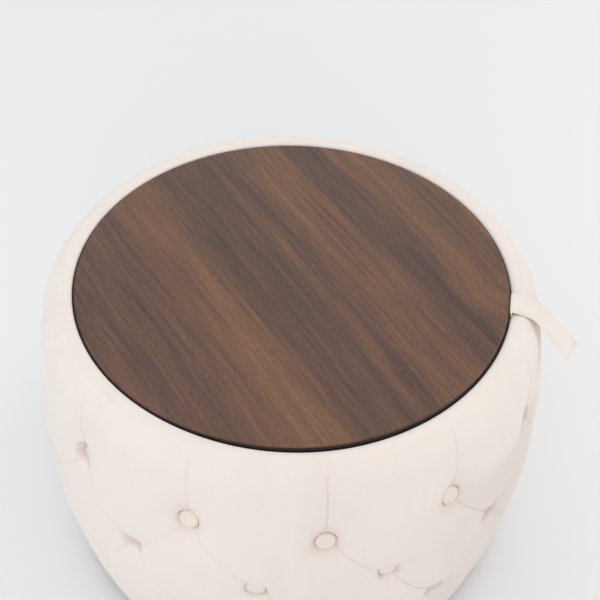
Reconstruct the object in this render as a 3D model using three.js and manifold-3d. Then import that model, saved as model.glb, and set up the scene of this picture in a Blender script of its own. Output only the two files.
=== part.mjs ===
// Round storage ottoman: a button-tufted velvet barrel with a drop-in wooden lid and a pull tab.
// Millimetres, +Z up. The barrel's axis is the Z axis and the floor is z = 0.
// Angles round the barrel are in degrees, counted from the front (-Y) towards +X.
import * as THREE from "three";
import { mergeVertices } from "three/addons/utils/BufferGeometryUtils.js";
import Module from "manifold-3d";

// ------------------------------------------------------------------ driving dimensions

const GAP = 0.3; // between pieces that touch
const CLOTH = 1.2; // one layer of upholstery cloth
const ROUND_SEGMENTS = 72; // facets round everything that follows the barrel

// Barrel.
const WIDEST = { radius: 318, height: 245 }; // on the puffs
const BASE_EDGE = { radius: 280, height: 13, power: 2 }; // a power of 2 gives a parabola,
const TOP_EDGE = { radius: 298, height: 420, power: 2.4 }; // and more is straighter in the middle
const HEM_INNER_RADIUS = 260; // how far the cover is turned in under the base

// Tufting: each row of buttons is turned half a pitch from the row above it.
const BUTTONS_PER_ROW = 12;
const FIRST_SEAM_ANGLE = 8.28;
const ROWS = [["top", 307], ["middle", 217], ["bottom", 120]]; // names and heights
const TUFT_DEPTH = 22;
const OUTER_RING_OFFSET = 45; // from the top and bottom rows to the last rings of the cover
const SEAT_RADIUS = 19; // flat bottom of a tuft
const PUFF_REACH = 62; // distance from a button at which the puff is full
const FOLD_DEPTH = 5; // of the pleats that join the buttons
const FOLD_REACH = 26;
const BUTTON = { radius: 12, rim: 2.5, height: 7, sides: 10 };

// Crown: the padded rim round the opening.
const CROWN_TOP = 420;
const CROWN_RADIUS = 280; // where the crown is highest
const CROWN_START = 385; // height at which the side turns into the crown
const CROWN_LIP = 411; // height at which the crown has turned down into the opening
const OPENING_RADIUS = 270.5;
const CROWN_QUILT = 3; // velvet and wadding over the crown

// Foam: radius and height of its outside, from the crown to the base.
const FOAM_SIDE = [[296.4, CROWN_START], [291.2, 322], [291.7, 217], [283.7, 140], [279.3, 100], [278.2, 60]];
const FOAM_BASE_RADIUS = 277.2;

// Carcass.
const BOARD_BOTTOM = 16.3;
const BOARD_THICKNESS = 15;
const WALL_THICKNESS = 3;
const INNER_WALL_RADIUS = 258.7; // of the storage space, under the ledge
const WALL_TOP = 395.7;
const TOP_RING_THICKNESS = 12;
const TOP_RING_RADIUS = 287.7;
const LEDGE_TOP = 378;
const LEDGE_THICKNESS = 12;
const LEDGE_INNER_RADIUS = 244.1;
const UPRIGHT = { count: 3, thickness: 8, width: 40, firstAngle: 30 };

// Lid.
const LID_TOP = 420;
const LID_RADIUS = 267;
const LID_SEGMENTS = 96;
const PANEL_THICKNESS = 12;
const ARRIS = 2; // eased top edge of the panel
const PANEL_CHAMFER = 0.8;
const EDGE_BAND_THICKNESS = 0.8;
const BACKING_THICKNESS = 10.4;
const PAD_RADIUS = 265;
const PAD_CORNER = 9;

// Pull tab: a doubled strip of velvet, clamped under the panel and brought up beside its edge.
const TAB_ANGLE = 82.5;
const TAB_WIDTH = 35;
const TAB_THICKNESS = 2;
const TAB_SWING = 20.7; // degrees that the strip turns towards the front on its way to the loose end
const TAB_RADIUS = 268.4; // of the strip in the gap round the lid
const TAB_HINGE_HEIGHT = 419.3;
const TAIL_HEIGHT = 406.4; // of the strip's middle under the panel
const TAIL_START = 230;
const TAIL_BEND = 2.5;
const TAB_ROUTE = [ // radius and height of the loose part's middle line
  [TAB_RADIUS, TAB_HINGE_HEIGHT],
  [276, 421.3],
  [285, 421.4],
  [297, 416.8],
  [309, 407],
  [325, 391],
  [351, 366.8],
];
const TAB_POCKET = { start: 228, width: 37, floor: 405.1 };

// Glides.
const GLIDE = { radius: 20, waist: 17, sole: 14, circle: 230, count: 4, firstAngle: 45, sides: 16 };
const DUST_COVER = { radius: 268, bottom: 13.9, thickness: 0.7 };

// ------------------------------------------------------------------ worked out from them

const HALF_SEGMENT = 180 / ROUND_SEGMENTS;
const PITCH_ANGLE = 360 / BUTTONS_PER_ROW;
const SEAT_HALF_HEIGHT = WIDEST.radius * Math.sin(THREE.MathUtils.degToRad(HALF_SEGMENT));
const HEM_BOTTOM = BOARD_BOTTOM - GAP - CLOTH;
const BOARD_TOP = BOARD_BOTTOM + BOARD_THICKNESS;
const QUILT_BASE_RADIUS = FOAM_BASE_RADIUS + GAP;
const OPENING_CLOTH_RADIUS = OPENING_RADIUS + CLOTH;
const OUTER_WALL_RADIUS = OPENING_CLOTH_RADIUS + GAP; // its inner face; the opening's cloth lies on it
const CARCASS_RADIUS = OUTER_WALL_RADIUS + WALL_THICKNESS;
const TOP_RING_TOP = WALL_TOP + GAP + TOP_RING_THICKNESS;
const LEDGE_BOTTOM = LEDGE_TOP - LEDGE_THICKNESS;
const LEDGE_CLOTH_TOP = LEDGE_TOP + GAP + CLOTH;
const PANEL_BOTTOM = LID_TOP - PANEL_THICKNESS;
const PANEL_RADIUS = LID_RADIUS - EDGE_BAND_THICKNESS - GAP;
const PAD_TOP = PANEL_BOTTOM - GAP;
const PAD_BOTTOM = LEDGE_CLOTH_TOP + GAP;
const BACKING_RADIUS = PAD_RADIUS - CLOTH - GAP;

// ------------------------------------------------------------------ materials

const finish = (color, roughness, metalness = 0) =>
  new THREE.MeshStandardMaterial({ color, roughness, metalness });
const VELVET = finish(0xede4dc, 0.9);
const WALNUT = finish(0x6f594e, 0.45);
const DARK_EDGE = finish(0x2c2220, 0.5);
const PLYWOOD = finish(0xc9a877, 0.75);
const HARDBOARD = finish(0x8a6a48, 0.8);
const FOAM = finish(0xf0e6c8, 0.95);
const LINING_CLOTH = finish(0xcfc6ba, 0.95);
const BLACK_CLOTH = finish(0x1d1d1f, 0.95);
const BLACK_PLASTIC = finish(0x161616, 0.5);

// ------------------------------------------------------------------ shape helpers

const { degToRad, smoothstep, euclideanModulo } = THREE.MathUtils;
const wasm = await Module();
wasm.setup();

// A solid of revolution about Z from [radius, height] pairs. A profile runs round its section with
// the solid on its left, and either starts and ends on the axis or closes on itself.
// Its facets are set so that a flat one lies behind every button.
function revolve(profile, segments = ROUND_SEGMENTS) {
  const points = profile.map(([radius, height]) => new THREE.Vector2(radius, height));
  const closesOnAxis = points[0].x === 0 && points.at(-1).x === 0;
  if (!closesOnAxis) points.push(points[0].clone());
  const phase = degToRad(FIRST_SEAM_ANGLE + HALF_SEGMENT);
  return new THREE.LatheGeometry(points, segments, phase).rotateX(Math.PI / 2);
}

// [radius, height] points on a quarter of an ellipse between two angles in degrees.
function ellipseArc([radius, height], [across, up], from, to, steps) {
  const points = [];
  for (let step = 0; step <= steps; step++) {
    const angle = degToRad(from + ((to - from) * step) / steps);
    points.push([radius + across * Math.cos(angle), height + up * Math.sin(angle)]);
  }
  return points;
}

const rectangle = (inner, outer, bottom, top) => [
  [inner, bottom],
  [outer, bottom],
  [outer, top],
  [inner, top],
];

function toSolid(geometry) {
  const plain = geometry.index ? geometry.toNonIndexed() : geometry.clone();
  plain.deleteAttribute("normal");
  plain.deleteAttribute("uv");
  const merged = mergeVertices(plain, 1e-4);
  const mesh = new wasm.Mesh({
    numProp: 3,
    vertProperties: merged.attributes.position.array,
    triVerts: new Uint32Array(merged.index.array),
  });
  return new wasm.Manifold(mesh);
}

function subtract(geometry, cutter) {
  const cut = toSolid(geometry).subtract(toSolid(cutter)).getMesh();
  const result = new THREE.BufferGeometry();
  result.setAttribute("position", new THREE.BufferAttribute(cut.vertProperties, 3));
  result.setIndex(new THREE.BufferAttribute(cut.triVerts, 1));
  return result;
}

// A strip of even thickness along a curve in the (radius, height) plane, turned to stand
// at angle 0: its radius runs along -Y and its width along X.
function strip(curve, steps, thickness, width) {
  const outer = [];
  const inner = [];
  for (let step = 0; step <= steps; step++) {
    const middle = curve.getPointAt(step / steps);
    const along = curve.getTangentAt(step / steps);
    const side = new THREE.Vector2(-along.y, along.x).multiplyScalar(thickness / 2);
    outer.push(middle.clone().add(side));
    inner.unshift(middle.clone().sub(side));
  }
  const section = new THREE.Shape([...outer, ...inner]);
  const geometry = new THREE.ExtrudeGeometry(section, { depth: width, bevelEnabled: false });
  geometry.translate(0, 0, -width / 2);
  return geometry.applyMatrix4(new THREE.Matrix4().set(
    0, 0, -1, 0,
    -1, 0, 0, 0,
    0, 1, 0, 0,
    0, 0, 0, 1,
  ));
}

function named(name, geometry, material) {
  const mesh = new THREE.Mesh(geometry, material);
  mesh.name = name;
  return mesh;
}

// Turns a piece made at angle 0 to its place round the barrel.
function turnTo(object, angle) {
  object.rotation.z = degToRad(angle);
  return object;
}

// ------------------------------------------------------------------ barrel and tufting

function barrelRadius(height) {
  const edge = height < WIDEST.height ? BASE_EDGE : TOP_EDGE;
  const share = (height - WIDEST.height) / (edge.height - WIDEST.height);
  return WIDEST.radius - (WIDEST.radius - edge.radius) * share ** edge.power;
}

const rowPhase = (row) => FIRST_SEAM_ANGLE + (row % 2 ? PITCH_ANGLE / 2 : 0);

// Degrees to the nearest of the angles phase, phase + pitch, phase + 2 pitch ...
function degreesFromSeam(angle, phase) {
  return Math.abs(euclideanModulo(angle - phase + PITCH_ANGLE / 2, PITCH_ANGLE) - PITCH_ANGLE / 2);
}

// How far the quilt is drawn in at a point: fully at the buttons, and a little along the pleats,
// which run slantwise from row to row and straight on above the top row and below the bottom one.
function drawnIn(angle, height) {
  const arc = (degrees) => degToRad(degrees) * WIDEST.radius;
  let depth = 0;
  ROWS.forEach(([, rowHeight], row) => {
    const distance = Math.hypot(arc(degreesFromSeam(angle, rowPhase(row))), height - rowHeight);
    depth = Math.max(depth, TUFT_DEPTH * (1 - smoothstep(distance, SEAT_RADIUS, PUFF_REACH)));
  });
  const rowsDown = ROWS.slice(1).reduce((sum, [, rowHeight], row) => {
    const above = ROWS[row][1];
    return sum + THREE.MathUtils.clamp((above - height) / (above - rowHeight), 0, 1);
  }, 0);
  const slant = (rowsDown * PITCH_ANGLE) / 2;
  const nearestPleat = Math.min(
    degreesFromSeam(angle, FIRST_SEAM_ANGLE + slant),
    degreesFromSeam(angle, FIRST_SEAM_ANGLE - slant),
  );
  const pleat = FOLD_DEPTH * (1 - smoothstep(arc(nearestPleat), 0, FOLD_REACH));
  return Math.max(depth, pleat);
}

// The heights of the side's rings: two to each button row, one between rows.
function sideHeights() {
  const rows = ROWS.map(([, height]) => height).reverse();
  const heights = [HEM_BOTTOM + 8, HEM_BOTTOM + 34, rows[0] - OUTER_RING_OFFSET];
  rows.forEach((height, row) => {
    const between = row + 1 < rows.length ? (height + rows[row + 1]) / 2 : height + OUTER_RING_OFFSET;
    heights.push(height - SEAT_HALF_HEIGHT, height + SEAT_HALF_HEIGHT, between);
  });
  return heights;
}

// The crown's section, from the side over its top and down into the opening, set in by an amount.
function crownSection(inset, startRadius) {
  const top = CROWN_TOP - inset;
  const openingRadius = OPENING_RADIUS + Math.min(inset, CLOTH + (inset > CROWN_QUILT ? GAP : 0));
  const outside = ellipseArc(
    [CROWN_RADIUS, CROWN_START], [startRadius - CROWN_RADIUS, top - CROWN_START], 0, 90, 3);
  const inside = ellipseArc(
    [CROWN_RADIUS, CROWN_LIP], [CROWN_RADIUS - openingRadius, top - CROWN_LIP], 90, 180, 2);
  return [...outside, ...inside.slice(1)];
}

// Velvet quilted to shaped wadding: turned in under the base, up the barrel, over the crown
// and down into the opening as far as the ledge.
function tuftedCover() {
  const side = sideHeights().map((height) => [barrelRadius(height), height]);
  const backing = FOAM_SIDE.map(([radius, height]) => [radius + GAP, height]);
  const geometry = revolve([
    [HEM_INNER_RADIUS, HEM_BOTTOM],
    [QUILT_BASE_RADIUS + 2 * CLOTH, HEM_BOTTOM],
    ...side,
    ...crownSection(0, barrelRadius(CROWN_START)),
    [OPENING_RADIUS, LEDGE_CLOTH_TOP + GAP],
    [OPENING_CLOTH_RADIUS, LEDGE_CLOTH_TOP + GAP],
    ...crownSection(CROWN_QUILT, backing[0][0]).reverse(),
    ...backing.slice(1),
    [QUILT_BASE_RADIUS, HEM_BOTTOM + CLOTH],
    [HEM_INNER_RADIUS, HEM_BOTTOM + CLOTH],
  ]);
  const position = geometry.attributes.position;
  const depths = new Float32Array(position.count);
  const point = new THREE.Vector3();
  for (let i = 0; i < position.count; i++) {
    point.fromBufferAttribute(position, i);
    const radius = Math.hypot(point.x, point.y);
    const onOutside = Math.abs(radius - barrelRadius(point.z)) < 1e-3 && point.z < CROWN_START - 1;
    if (!onOutside) continue;
    const angle = THREE.MathUtils.radToDeg(Math.atan2(point.x, -point.y));
    depths[i] = drawnIn(angle, point.z);
    const drawn = (radius - depths[i]) / radius;
    position.setXYZ(i, point.x * drawn, point.y * drawn, point.z);
  }
  return foldAlongPleats(geometry, depths);
}

// Each four-sided face of a lathe is two triangles. Where the other diagonal joins deeper points, the
// face is folded along it instead, so that the pleats are sharp whichever way they slant.
function foldAlongPleats(geometry, depths) {
  const index = geometry.index;
  for (let i = 0; i < index.count; i += 6) {
    const [a, b, d, c] = [0, 1, 2, 3].map((corner) => index.getX(i + corner));
    if (depths[a] + depths[c] <= depths[b] + depths[d]) continue;
    [a, b, c, a, c, d].forEach((vertex, corner) => index.setX(i + corner, vertex));
  }
  return geometry;
}

function foamWrap() {
  return revolve([
    [CARCASS_RADIUS + GAP, BOARD_BOTTOM],
    [FOAM_BASE_RADIUS, BOARD_BOTTOM],
    ...FOAM_SIDE.slice(1).reverse(),
    ...crownSection(CROWN_QUILT + GAP, FOAM_SIDE[0][0]),
    [OUTER_WALL_RADIUS, TOP_RING_TOP + GAP],
    [TOP_RING_RADIUS + GAP, TOP_RING_TOP + GAP],
    [TOP_RING_RADIUS + GAP, WALL_TOP],
    [CARCASS_RADIUS + GAP, WALL_TOP],
  ]);
}

// A cloth-covered dome with a rolled rim.
function buttonGeometry() {
  const { radius, rim, height, sides } = BUTTON;
  const dome = ellipseArc([0, rim], [radius, height - rim], 0, 90, 2).slice(0, -1);
  const geometry = revolve([[0, 0], [radius - 1.5, 0], ...dome, [0, height]], sides);
  return geometry.rotateX(Math.PI / 2);
}

// A button sits flat on the bottom of its tuft, which leans as the barrel's side does.
function tuftButtons() {
  const geometry = buttonGeometry();
  const buttons = new THREE.Group();
  ROWS.forEach(([name, height], row) => {
    const below = barrelRadius(height - SEAT_HALF_HEIGHT);
    const above = barrelRadius(height + SEAT_HALF_HEIGHT);
    const lean = Math.atan2(below - above, 2 * SEAT_HALF_HEIGHT);
    const seatRadius = ((below + above) / 2 - TUFT_DEPTH) * Math.cos(degToRad(HALF_SEGMENT));
    for (let i = 0; i < BUTTONS_PER_ROW; i++) {
      const number = String(i + 1).padStart(2, "0");
      const button = named(`button_${name}_${number}`, geometry, VELVET);
      button.position.set(0, -(seatRadius + GAP), height);
      button.rotation.x = -lean;
      const place = turnTo(new THREE.Group(), rowPhase(row) + i * PITCH_ANGLE);
      buttons.add(place.add(button));
    }
  });
  return buttons;
}

// ------------------------------------------------------------------ carcass

const bottomBoard = () => revolve([
  [0, BOARD_BOTTOM], [CARCASS_RADIUS, BOARD_BOTTOM], [CARCASS_RADIUS, BOARD_TOP], [0, BOARD_TOP]]);

function wall(innerRadius, top) {
  return revolve(rectangle(innerRadius, innerRadius + WALL_THICKNESS, BOARD_TOP + GAP, top));
}

const topRing = () => revolve(
  rectangle(OUTER_WALL_RADIUS, TOP_RING_RADIUS, WALL_TOP + GAP, TOP_RING_TOP));

const ledgeRing = () => revolve(
  rectangle(LEDGE_INNER_RADIUS, OPENING_CLOTH_RADIUS, LEDGE_BOTTOM, LEDGE_TOP));

// They stand between the walls and carry the ledge.
function uprights() {
  const group = new THREE.Group();
  const { count, thickness, width, firstAngle } = UPRIGHT;
  const inner = INNER_WALL_RADIUS + WALL_THICKNESS + GAP;
  const height = LEDGE_BOTTOM - BOARD_TOP - 2 * GAP;
  for (let i = 0; i < count; i++) {
    const upright = named(`upright_${i + 1}`, new THREE.BoxGeometry(width, thickness, height), PLYWOOD);
    upright.position.set(0, -(inner + GAP + thickness / 2), BOARD_TOP + GAP + height / 2);
    group.add(turnTo(new THREE.Group(), firstAngle + (i * 360) / count).add(upright));
  }
  return group;
}

// One cloth cup that lines the storage space and is wrapped up over the ledge.
function lining() {
  const floor = BOARD_TOP + GAP;
  const under = LEDGE_BOTTOM - GAP;
  const ledgeFace = LEDGE_INNER_RADIUS - GAP;
  const side = INNER_WALL_RADIUS - GAP;
  return revolve([
    [0, floor],
    [side, floor],
    [side, under],
    [ledgeFace, under],
    [ledgeFace, LEDGE_TOP + GAP],
    [OPENING_RADIUS - GAP, LEDGE_TOP + GAP],
    [OPENING_RADIUS - GAP, LEDGE_CLOTH_TOP],
    [ledgeFace - CLOTH, LEDGE_CLOTH_TOP],
    [ledgeFace - CLOTH, under - CLOTH],
    [side - CLOTH, under - CLOTH],
    [side - CLOTH, floor + CLOTH],
    [0, floor + CLOTH],
  ]);
}

function dustCover() {
  const { radius, bottom, thickness } = DUST_COVER;
  return revolve([[0, bottom], [radius, bottom], [radius, bottom + thickness], [0, bottom + thickness]]);
}

// A nail-on glide: a flange under the base that narrows to a rounded sole.
function glides() {
  const { radius, waist, sole, circle, count, firstAngle, sides } = GLIDE;
  const top = DUST_COVER.bottom - GAP;
  const geometry = revolve([
    [0, 0], [sole, 0], [sole + 1.8, 1.2], [waist, 4], [waist, top - 3.5], [radius, top - 2.5], [radius, top], [0, top],
  ], sides);
  const group = new THREE.Group();
  group.add(named("glide_centre", geometry, BLACK_PLASTIC));
  for (let i = 0; i < count; i++) {
    const glide = named(`glide_${i + 1}`, geometry, BLACK_PLASTIC);
    glide.position.y = -circle;
    group.add(turnTo(new THREE.Group(), firstAngle + (i * 360) / count).add(glide));
  }
  return group;
}

// ------------------------------------------------------------------ lid

function lidPanel() {
  const edge = ellipseArc([PANEL_RADIUS - ARRIS, LID_TOP - ARRIS], [ARRIS, ARRIS], 0, 90, 2);
  return revolve([
    [0, PANEL_BOTTOM],
    [PANEL_RADIUS - PANEL_CHAMFER, PANEL_BOTTOM],
    [PANEL_RADIUS, PANEL_BOTTOM + PANEL_CHAMFER],
    ...edge,
    [0, LID_TOP],
  ], LID_SEGMENTS);
}

const lidEdgeBand = () => revolve(rectangle(
  LID_RADIUS - EDGE_BAND_THICKNESS, LID_RADIUS, PANEL_BOTTOM + PANEL_CHAMFER, LID_TOP - ARRIS), LID_SEGMENTS);

// The slot that the tab's tail lies in: a pocket in the backing board that runs out through the pad's rim.
function tabPocketCutter() {
  const { start, width, floor } = TAB_POCKET;
  const depth = LID_RADIUS + 5 - start;
  const height = PANEL_BOTTOM - floor + 1;
  const box = new THREE.BoxGeometry(width, depth, height);
  box.translate(0, -(start + depth / 2), floor + height / 2);
  return box.rotateZ(degToRad(TAB_ANGLE));
}

function lidBackingBoard() {
  const bottom = PAD_TOP - BACKING_THICKNESS;
  const board = revolve([[0, bottom], [BACKING_RADIUS, bottom], [BACKING_RADIUS, PAD_TOP], [0, PAD_TOP]]);
  return subtract(board, tabPocketCutter());
}

function lidPadFoam() {
  const bottom = PAD_BOTTOM + CLOTH + GAP;
  const top = PAD_TOP - BACKING_THICKNESS - GAP;
  const corner = PAD_CORNER - CLOTH - GAP;
  const rounded = ellipseArc([BACKING_RADIUS - corner, bottom + corner], [corner, corner], -90, 0, 2);
  return revolve([[0, bottom], ...rounded, [BACKING_RADIUS, top], [0, top]]);
}

// A velvet cup, stapled to the backing board's edge.
function lidPadCover() {
  const arc = (inset) => ellipseArc(
    [PAD_RADIUS - PAD_CORNER, PAD_BOTTOM + PAD_CORNER], [PAD_CORNER - inset, PAD_CORNER - inset], -90, 0, 2);
  const cup = revolve([
    [0, PAD_BOTTOM],
    ...arc(0),
    [PAD_RADIUS, PAD_TOP],
    [PAD_RADIUS - CLOTH, PAD_TOP],
    ...arc(CLOTH).reverse(),
    [0, PAD_BOTTOM + CLOTH],
  ]);
  return subtract(cup, tabPocketCutter());
}

// The tail lies under the panel, bends up and ends just under the hinge line of the loose part.
function tabTail() {
  const path = new THREE.Path();
  path.moveTo(TAIL_START, TAIL_HEIGHT);
  path.lineTo(TAB_RADIUS - TAIL_BEND, TAIL_HEIGHT);
  path.absarc(TAB_RADIUS - TAIL_BEND, TAIL_HEIGHT + TAIL_BEND, TAIL_BEND, -Math.PI / 2, 0, false);
  path.lineTo(TAB_RADIUS, TAB_HINGE_HEIGHT - TAB_THICKNESS / 2 - GAP);
  return strip(path, 32, TAB_THICKNESS, TAB_WIDTH);
}

// The loose part lies over the crown and stands out in the air. Seen from above it follows an arc
// that turns towards the front, and its width stays square to that arc.
function pullTab() {
  const route = new THREE.SplineCurve(TAB_ROUTE.map(([radius, height]) => new THREE.Vector2(radius, height)));
  const tab = strip(route, 14, TAB_THICKNESS, TAB_WIDTH);
  const reach = TAB_ROUTE.at(-1)[0] - TAB_RADIUS;
  const turnRadius = reach / degToRad(TAB_SWING);
  const position = tab.attributes.position;
  for (let i = 0; i < position.count; i++) {
    const heading = (-position.getY(i) - TAB_RADIUS) / turnRadius;
    const fromTurnCentre = turnRadius + position.getX(i);
    position.setX(i, fromTurnCentre * Math.cos(heading) - turnRadius);
    position.setY(i, -TAB_RADIUS - fromTurnCentre * Math.sin(heading));
  }
  return tab;
}

// ------------------------------------------------------------------ assembly

const barrel = new THREE.Group();
barrel.add(
  named("tufted_cover", tuftedCover(), VELVET),
  named("foam_wrap", foamWrap(), FOAM),
  tuftButtons(),
  named("bottom_board", bottomBoard(), PLYWOOD),
  named("inner_wall", wall(INNER_WALL_RADIUS, LEDGE_BOTTOM - GAP), HARDBOARD),
  named("outer_wall", wall(OUTER_WALL_RADIUS, WALL_TOP), HARDBOARD),
  named("top_ring", topRing(), PLYWOOD),
  named("ledge_ring", ledgeRing(), PLYWOOD),
  uprights(),
  named("storage_lining", lining(), LINING_CLOTH),
  named("dust_cover", dustCover(), BLACK_CLOTH),
  glides(),
);

const tabTurn = turnTo(new THREE.Group(), TAB_ANGLE);
tabTurn.add(
  named("tab_tail", tabTail(), VELVET),
  named("pull_tab", pullTab(), VELVET),
);

const lid = new THREE.Group();
lid.add(
  named("lid_panel", lidPanel(), WALNUT),
  named("lid_edge_band", lidEdgeBand(), DARK_EDGE),
  named("lid_backing_board", lidBackingBoard(), PLYWOOD),
  named("lid_pad_foam", lidPadFoam(), FOAM),
  named("lid_pad_cover", lidPadCover(), VELVET),
  tabTurn,
);

const ottoman = new THREE.Group();
ottoman.add(barrel, lid);
export default ottoman;
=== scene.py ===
"""Looks of a round, button-tufted storage ottoman with a drop-in walnut lid and a pull tab.

Everything is in metres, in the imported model's own frame: +Z up, the barrel's axis on Z and the
floor at z = 0. Angles round the barrel count from the front (-Y) towards +X, so the point at
angle a and radius r is (r sin a, -r cos a). Sizes of the sewn pieces are fields of their classes,
and places come from the boxes of the CAD nodes that they stand for.
"""

import logging
import math
from collections.abc import Callable, Sequence
from dataclasses import dataclass, field
from enum import Enum

import bmesh
import bpy
import numpy as np
from mathutils import Matrix, Vector


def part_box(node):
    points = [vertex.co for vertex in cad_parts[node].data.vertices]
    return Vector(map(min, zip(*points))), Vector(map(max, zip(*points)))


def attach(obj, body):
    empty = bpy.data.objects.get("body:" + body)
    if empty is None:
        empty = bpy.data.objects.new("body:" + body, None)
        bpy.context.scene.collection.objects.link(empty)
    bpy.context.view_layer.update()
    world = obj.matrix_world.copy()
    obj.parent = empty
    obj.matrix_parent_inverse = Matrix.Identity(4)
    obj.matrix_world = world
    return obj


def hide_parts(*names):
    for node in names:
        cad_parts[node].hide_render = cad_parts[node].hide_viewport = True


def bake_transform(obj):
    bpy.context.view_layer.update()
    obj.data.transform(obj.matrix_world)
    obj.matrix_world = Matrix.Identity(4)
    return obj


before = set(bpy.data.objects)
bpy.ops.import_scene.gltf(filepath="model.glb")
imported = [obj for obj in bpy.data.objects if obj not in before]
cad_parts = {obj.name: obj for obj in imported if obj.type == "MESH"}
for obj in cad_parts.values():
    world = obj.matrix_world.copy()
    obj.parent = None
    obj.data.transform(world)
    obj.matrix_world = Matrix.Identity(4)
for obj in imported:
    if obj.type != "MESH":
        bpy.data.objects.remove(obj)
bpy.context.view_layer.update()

log = logging.getLogger("ottoman")

Array = np.ndarray
Material = bpy.types.Material
Piece = bpy.types.Object
Socket = bpy.types.NodeSocket
Triple = tuple[float, float, float]
Colour = Triple
Stops = Sequence[tuple[float, Colour]]
Section = Sequence[tuple[float, float]]
Table = tuple[tuple[float, ...], ...]
MM = 0.001


# ---------------------------------------------------------------------- shader expressions


def operator(operation: str, reflected: bool = False) -> Callable[["Value", "Number"], "Value"]:
    """An operator of Value that adds one Math node; reflected puts self second."""

    def apply(self: "Value", other: "Number") -> "Value":
        """The operator itself."""
        first, second = (other, self) if reflected else (self, other)
        return self.shader.math(operation, first, second)

    return apply


class Value:
    """A number that a node puts out; arithmetic on it adds Math nodes to its shader."""

    __add__, __radd__ = operator("ADD"), operator("ADD", reflected=True)
    __sub__, __rsub__ = operator("SUBTRACT"), operator("SUBTRACT", reflected=True)
    __mul__, __rmul__ = operator("MULTIPLY"), operator("MULTIPLY", reflected=True)
    __truediv__ = operator("DIVIDE")

    def __init__(self, shader: "Shader", socket: Socket) -> None:
        """Keeps the shader that the number belongs to and the socket that carries it."""
        self.shader = shader
        self.socket = socket

    def bell(self) -> "Value":
        """exp(-self^2)."""
        return self.shader.math("POWER", math.e, self * self * -1.0)

    def sine(self) -> "Value":
        """The sine of self, in radians."""
        return self.shader.math("SINE", self)

    def between(self, low: float, high: float) -> "Value":
        """0 below low, 1 above high, and a smooth step from one to the other."""
        made = self.shader.node(
            "ShaderNodeMapRange",
            {"interpolation_type": "SMOOTHSTEP"},
            {"Value": self, "From Min": low, "From Max": high},
        )
        return Value(self.shader, made.outputs["Result"])


Number = Value | float


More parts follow.
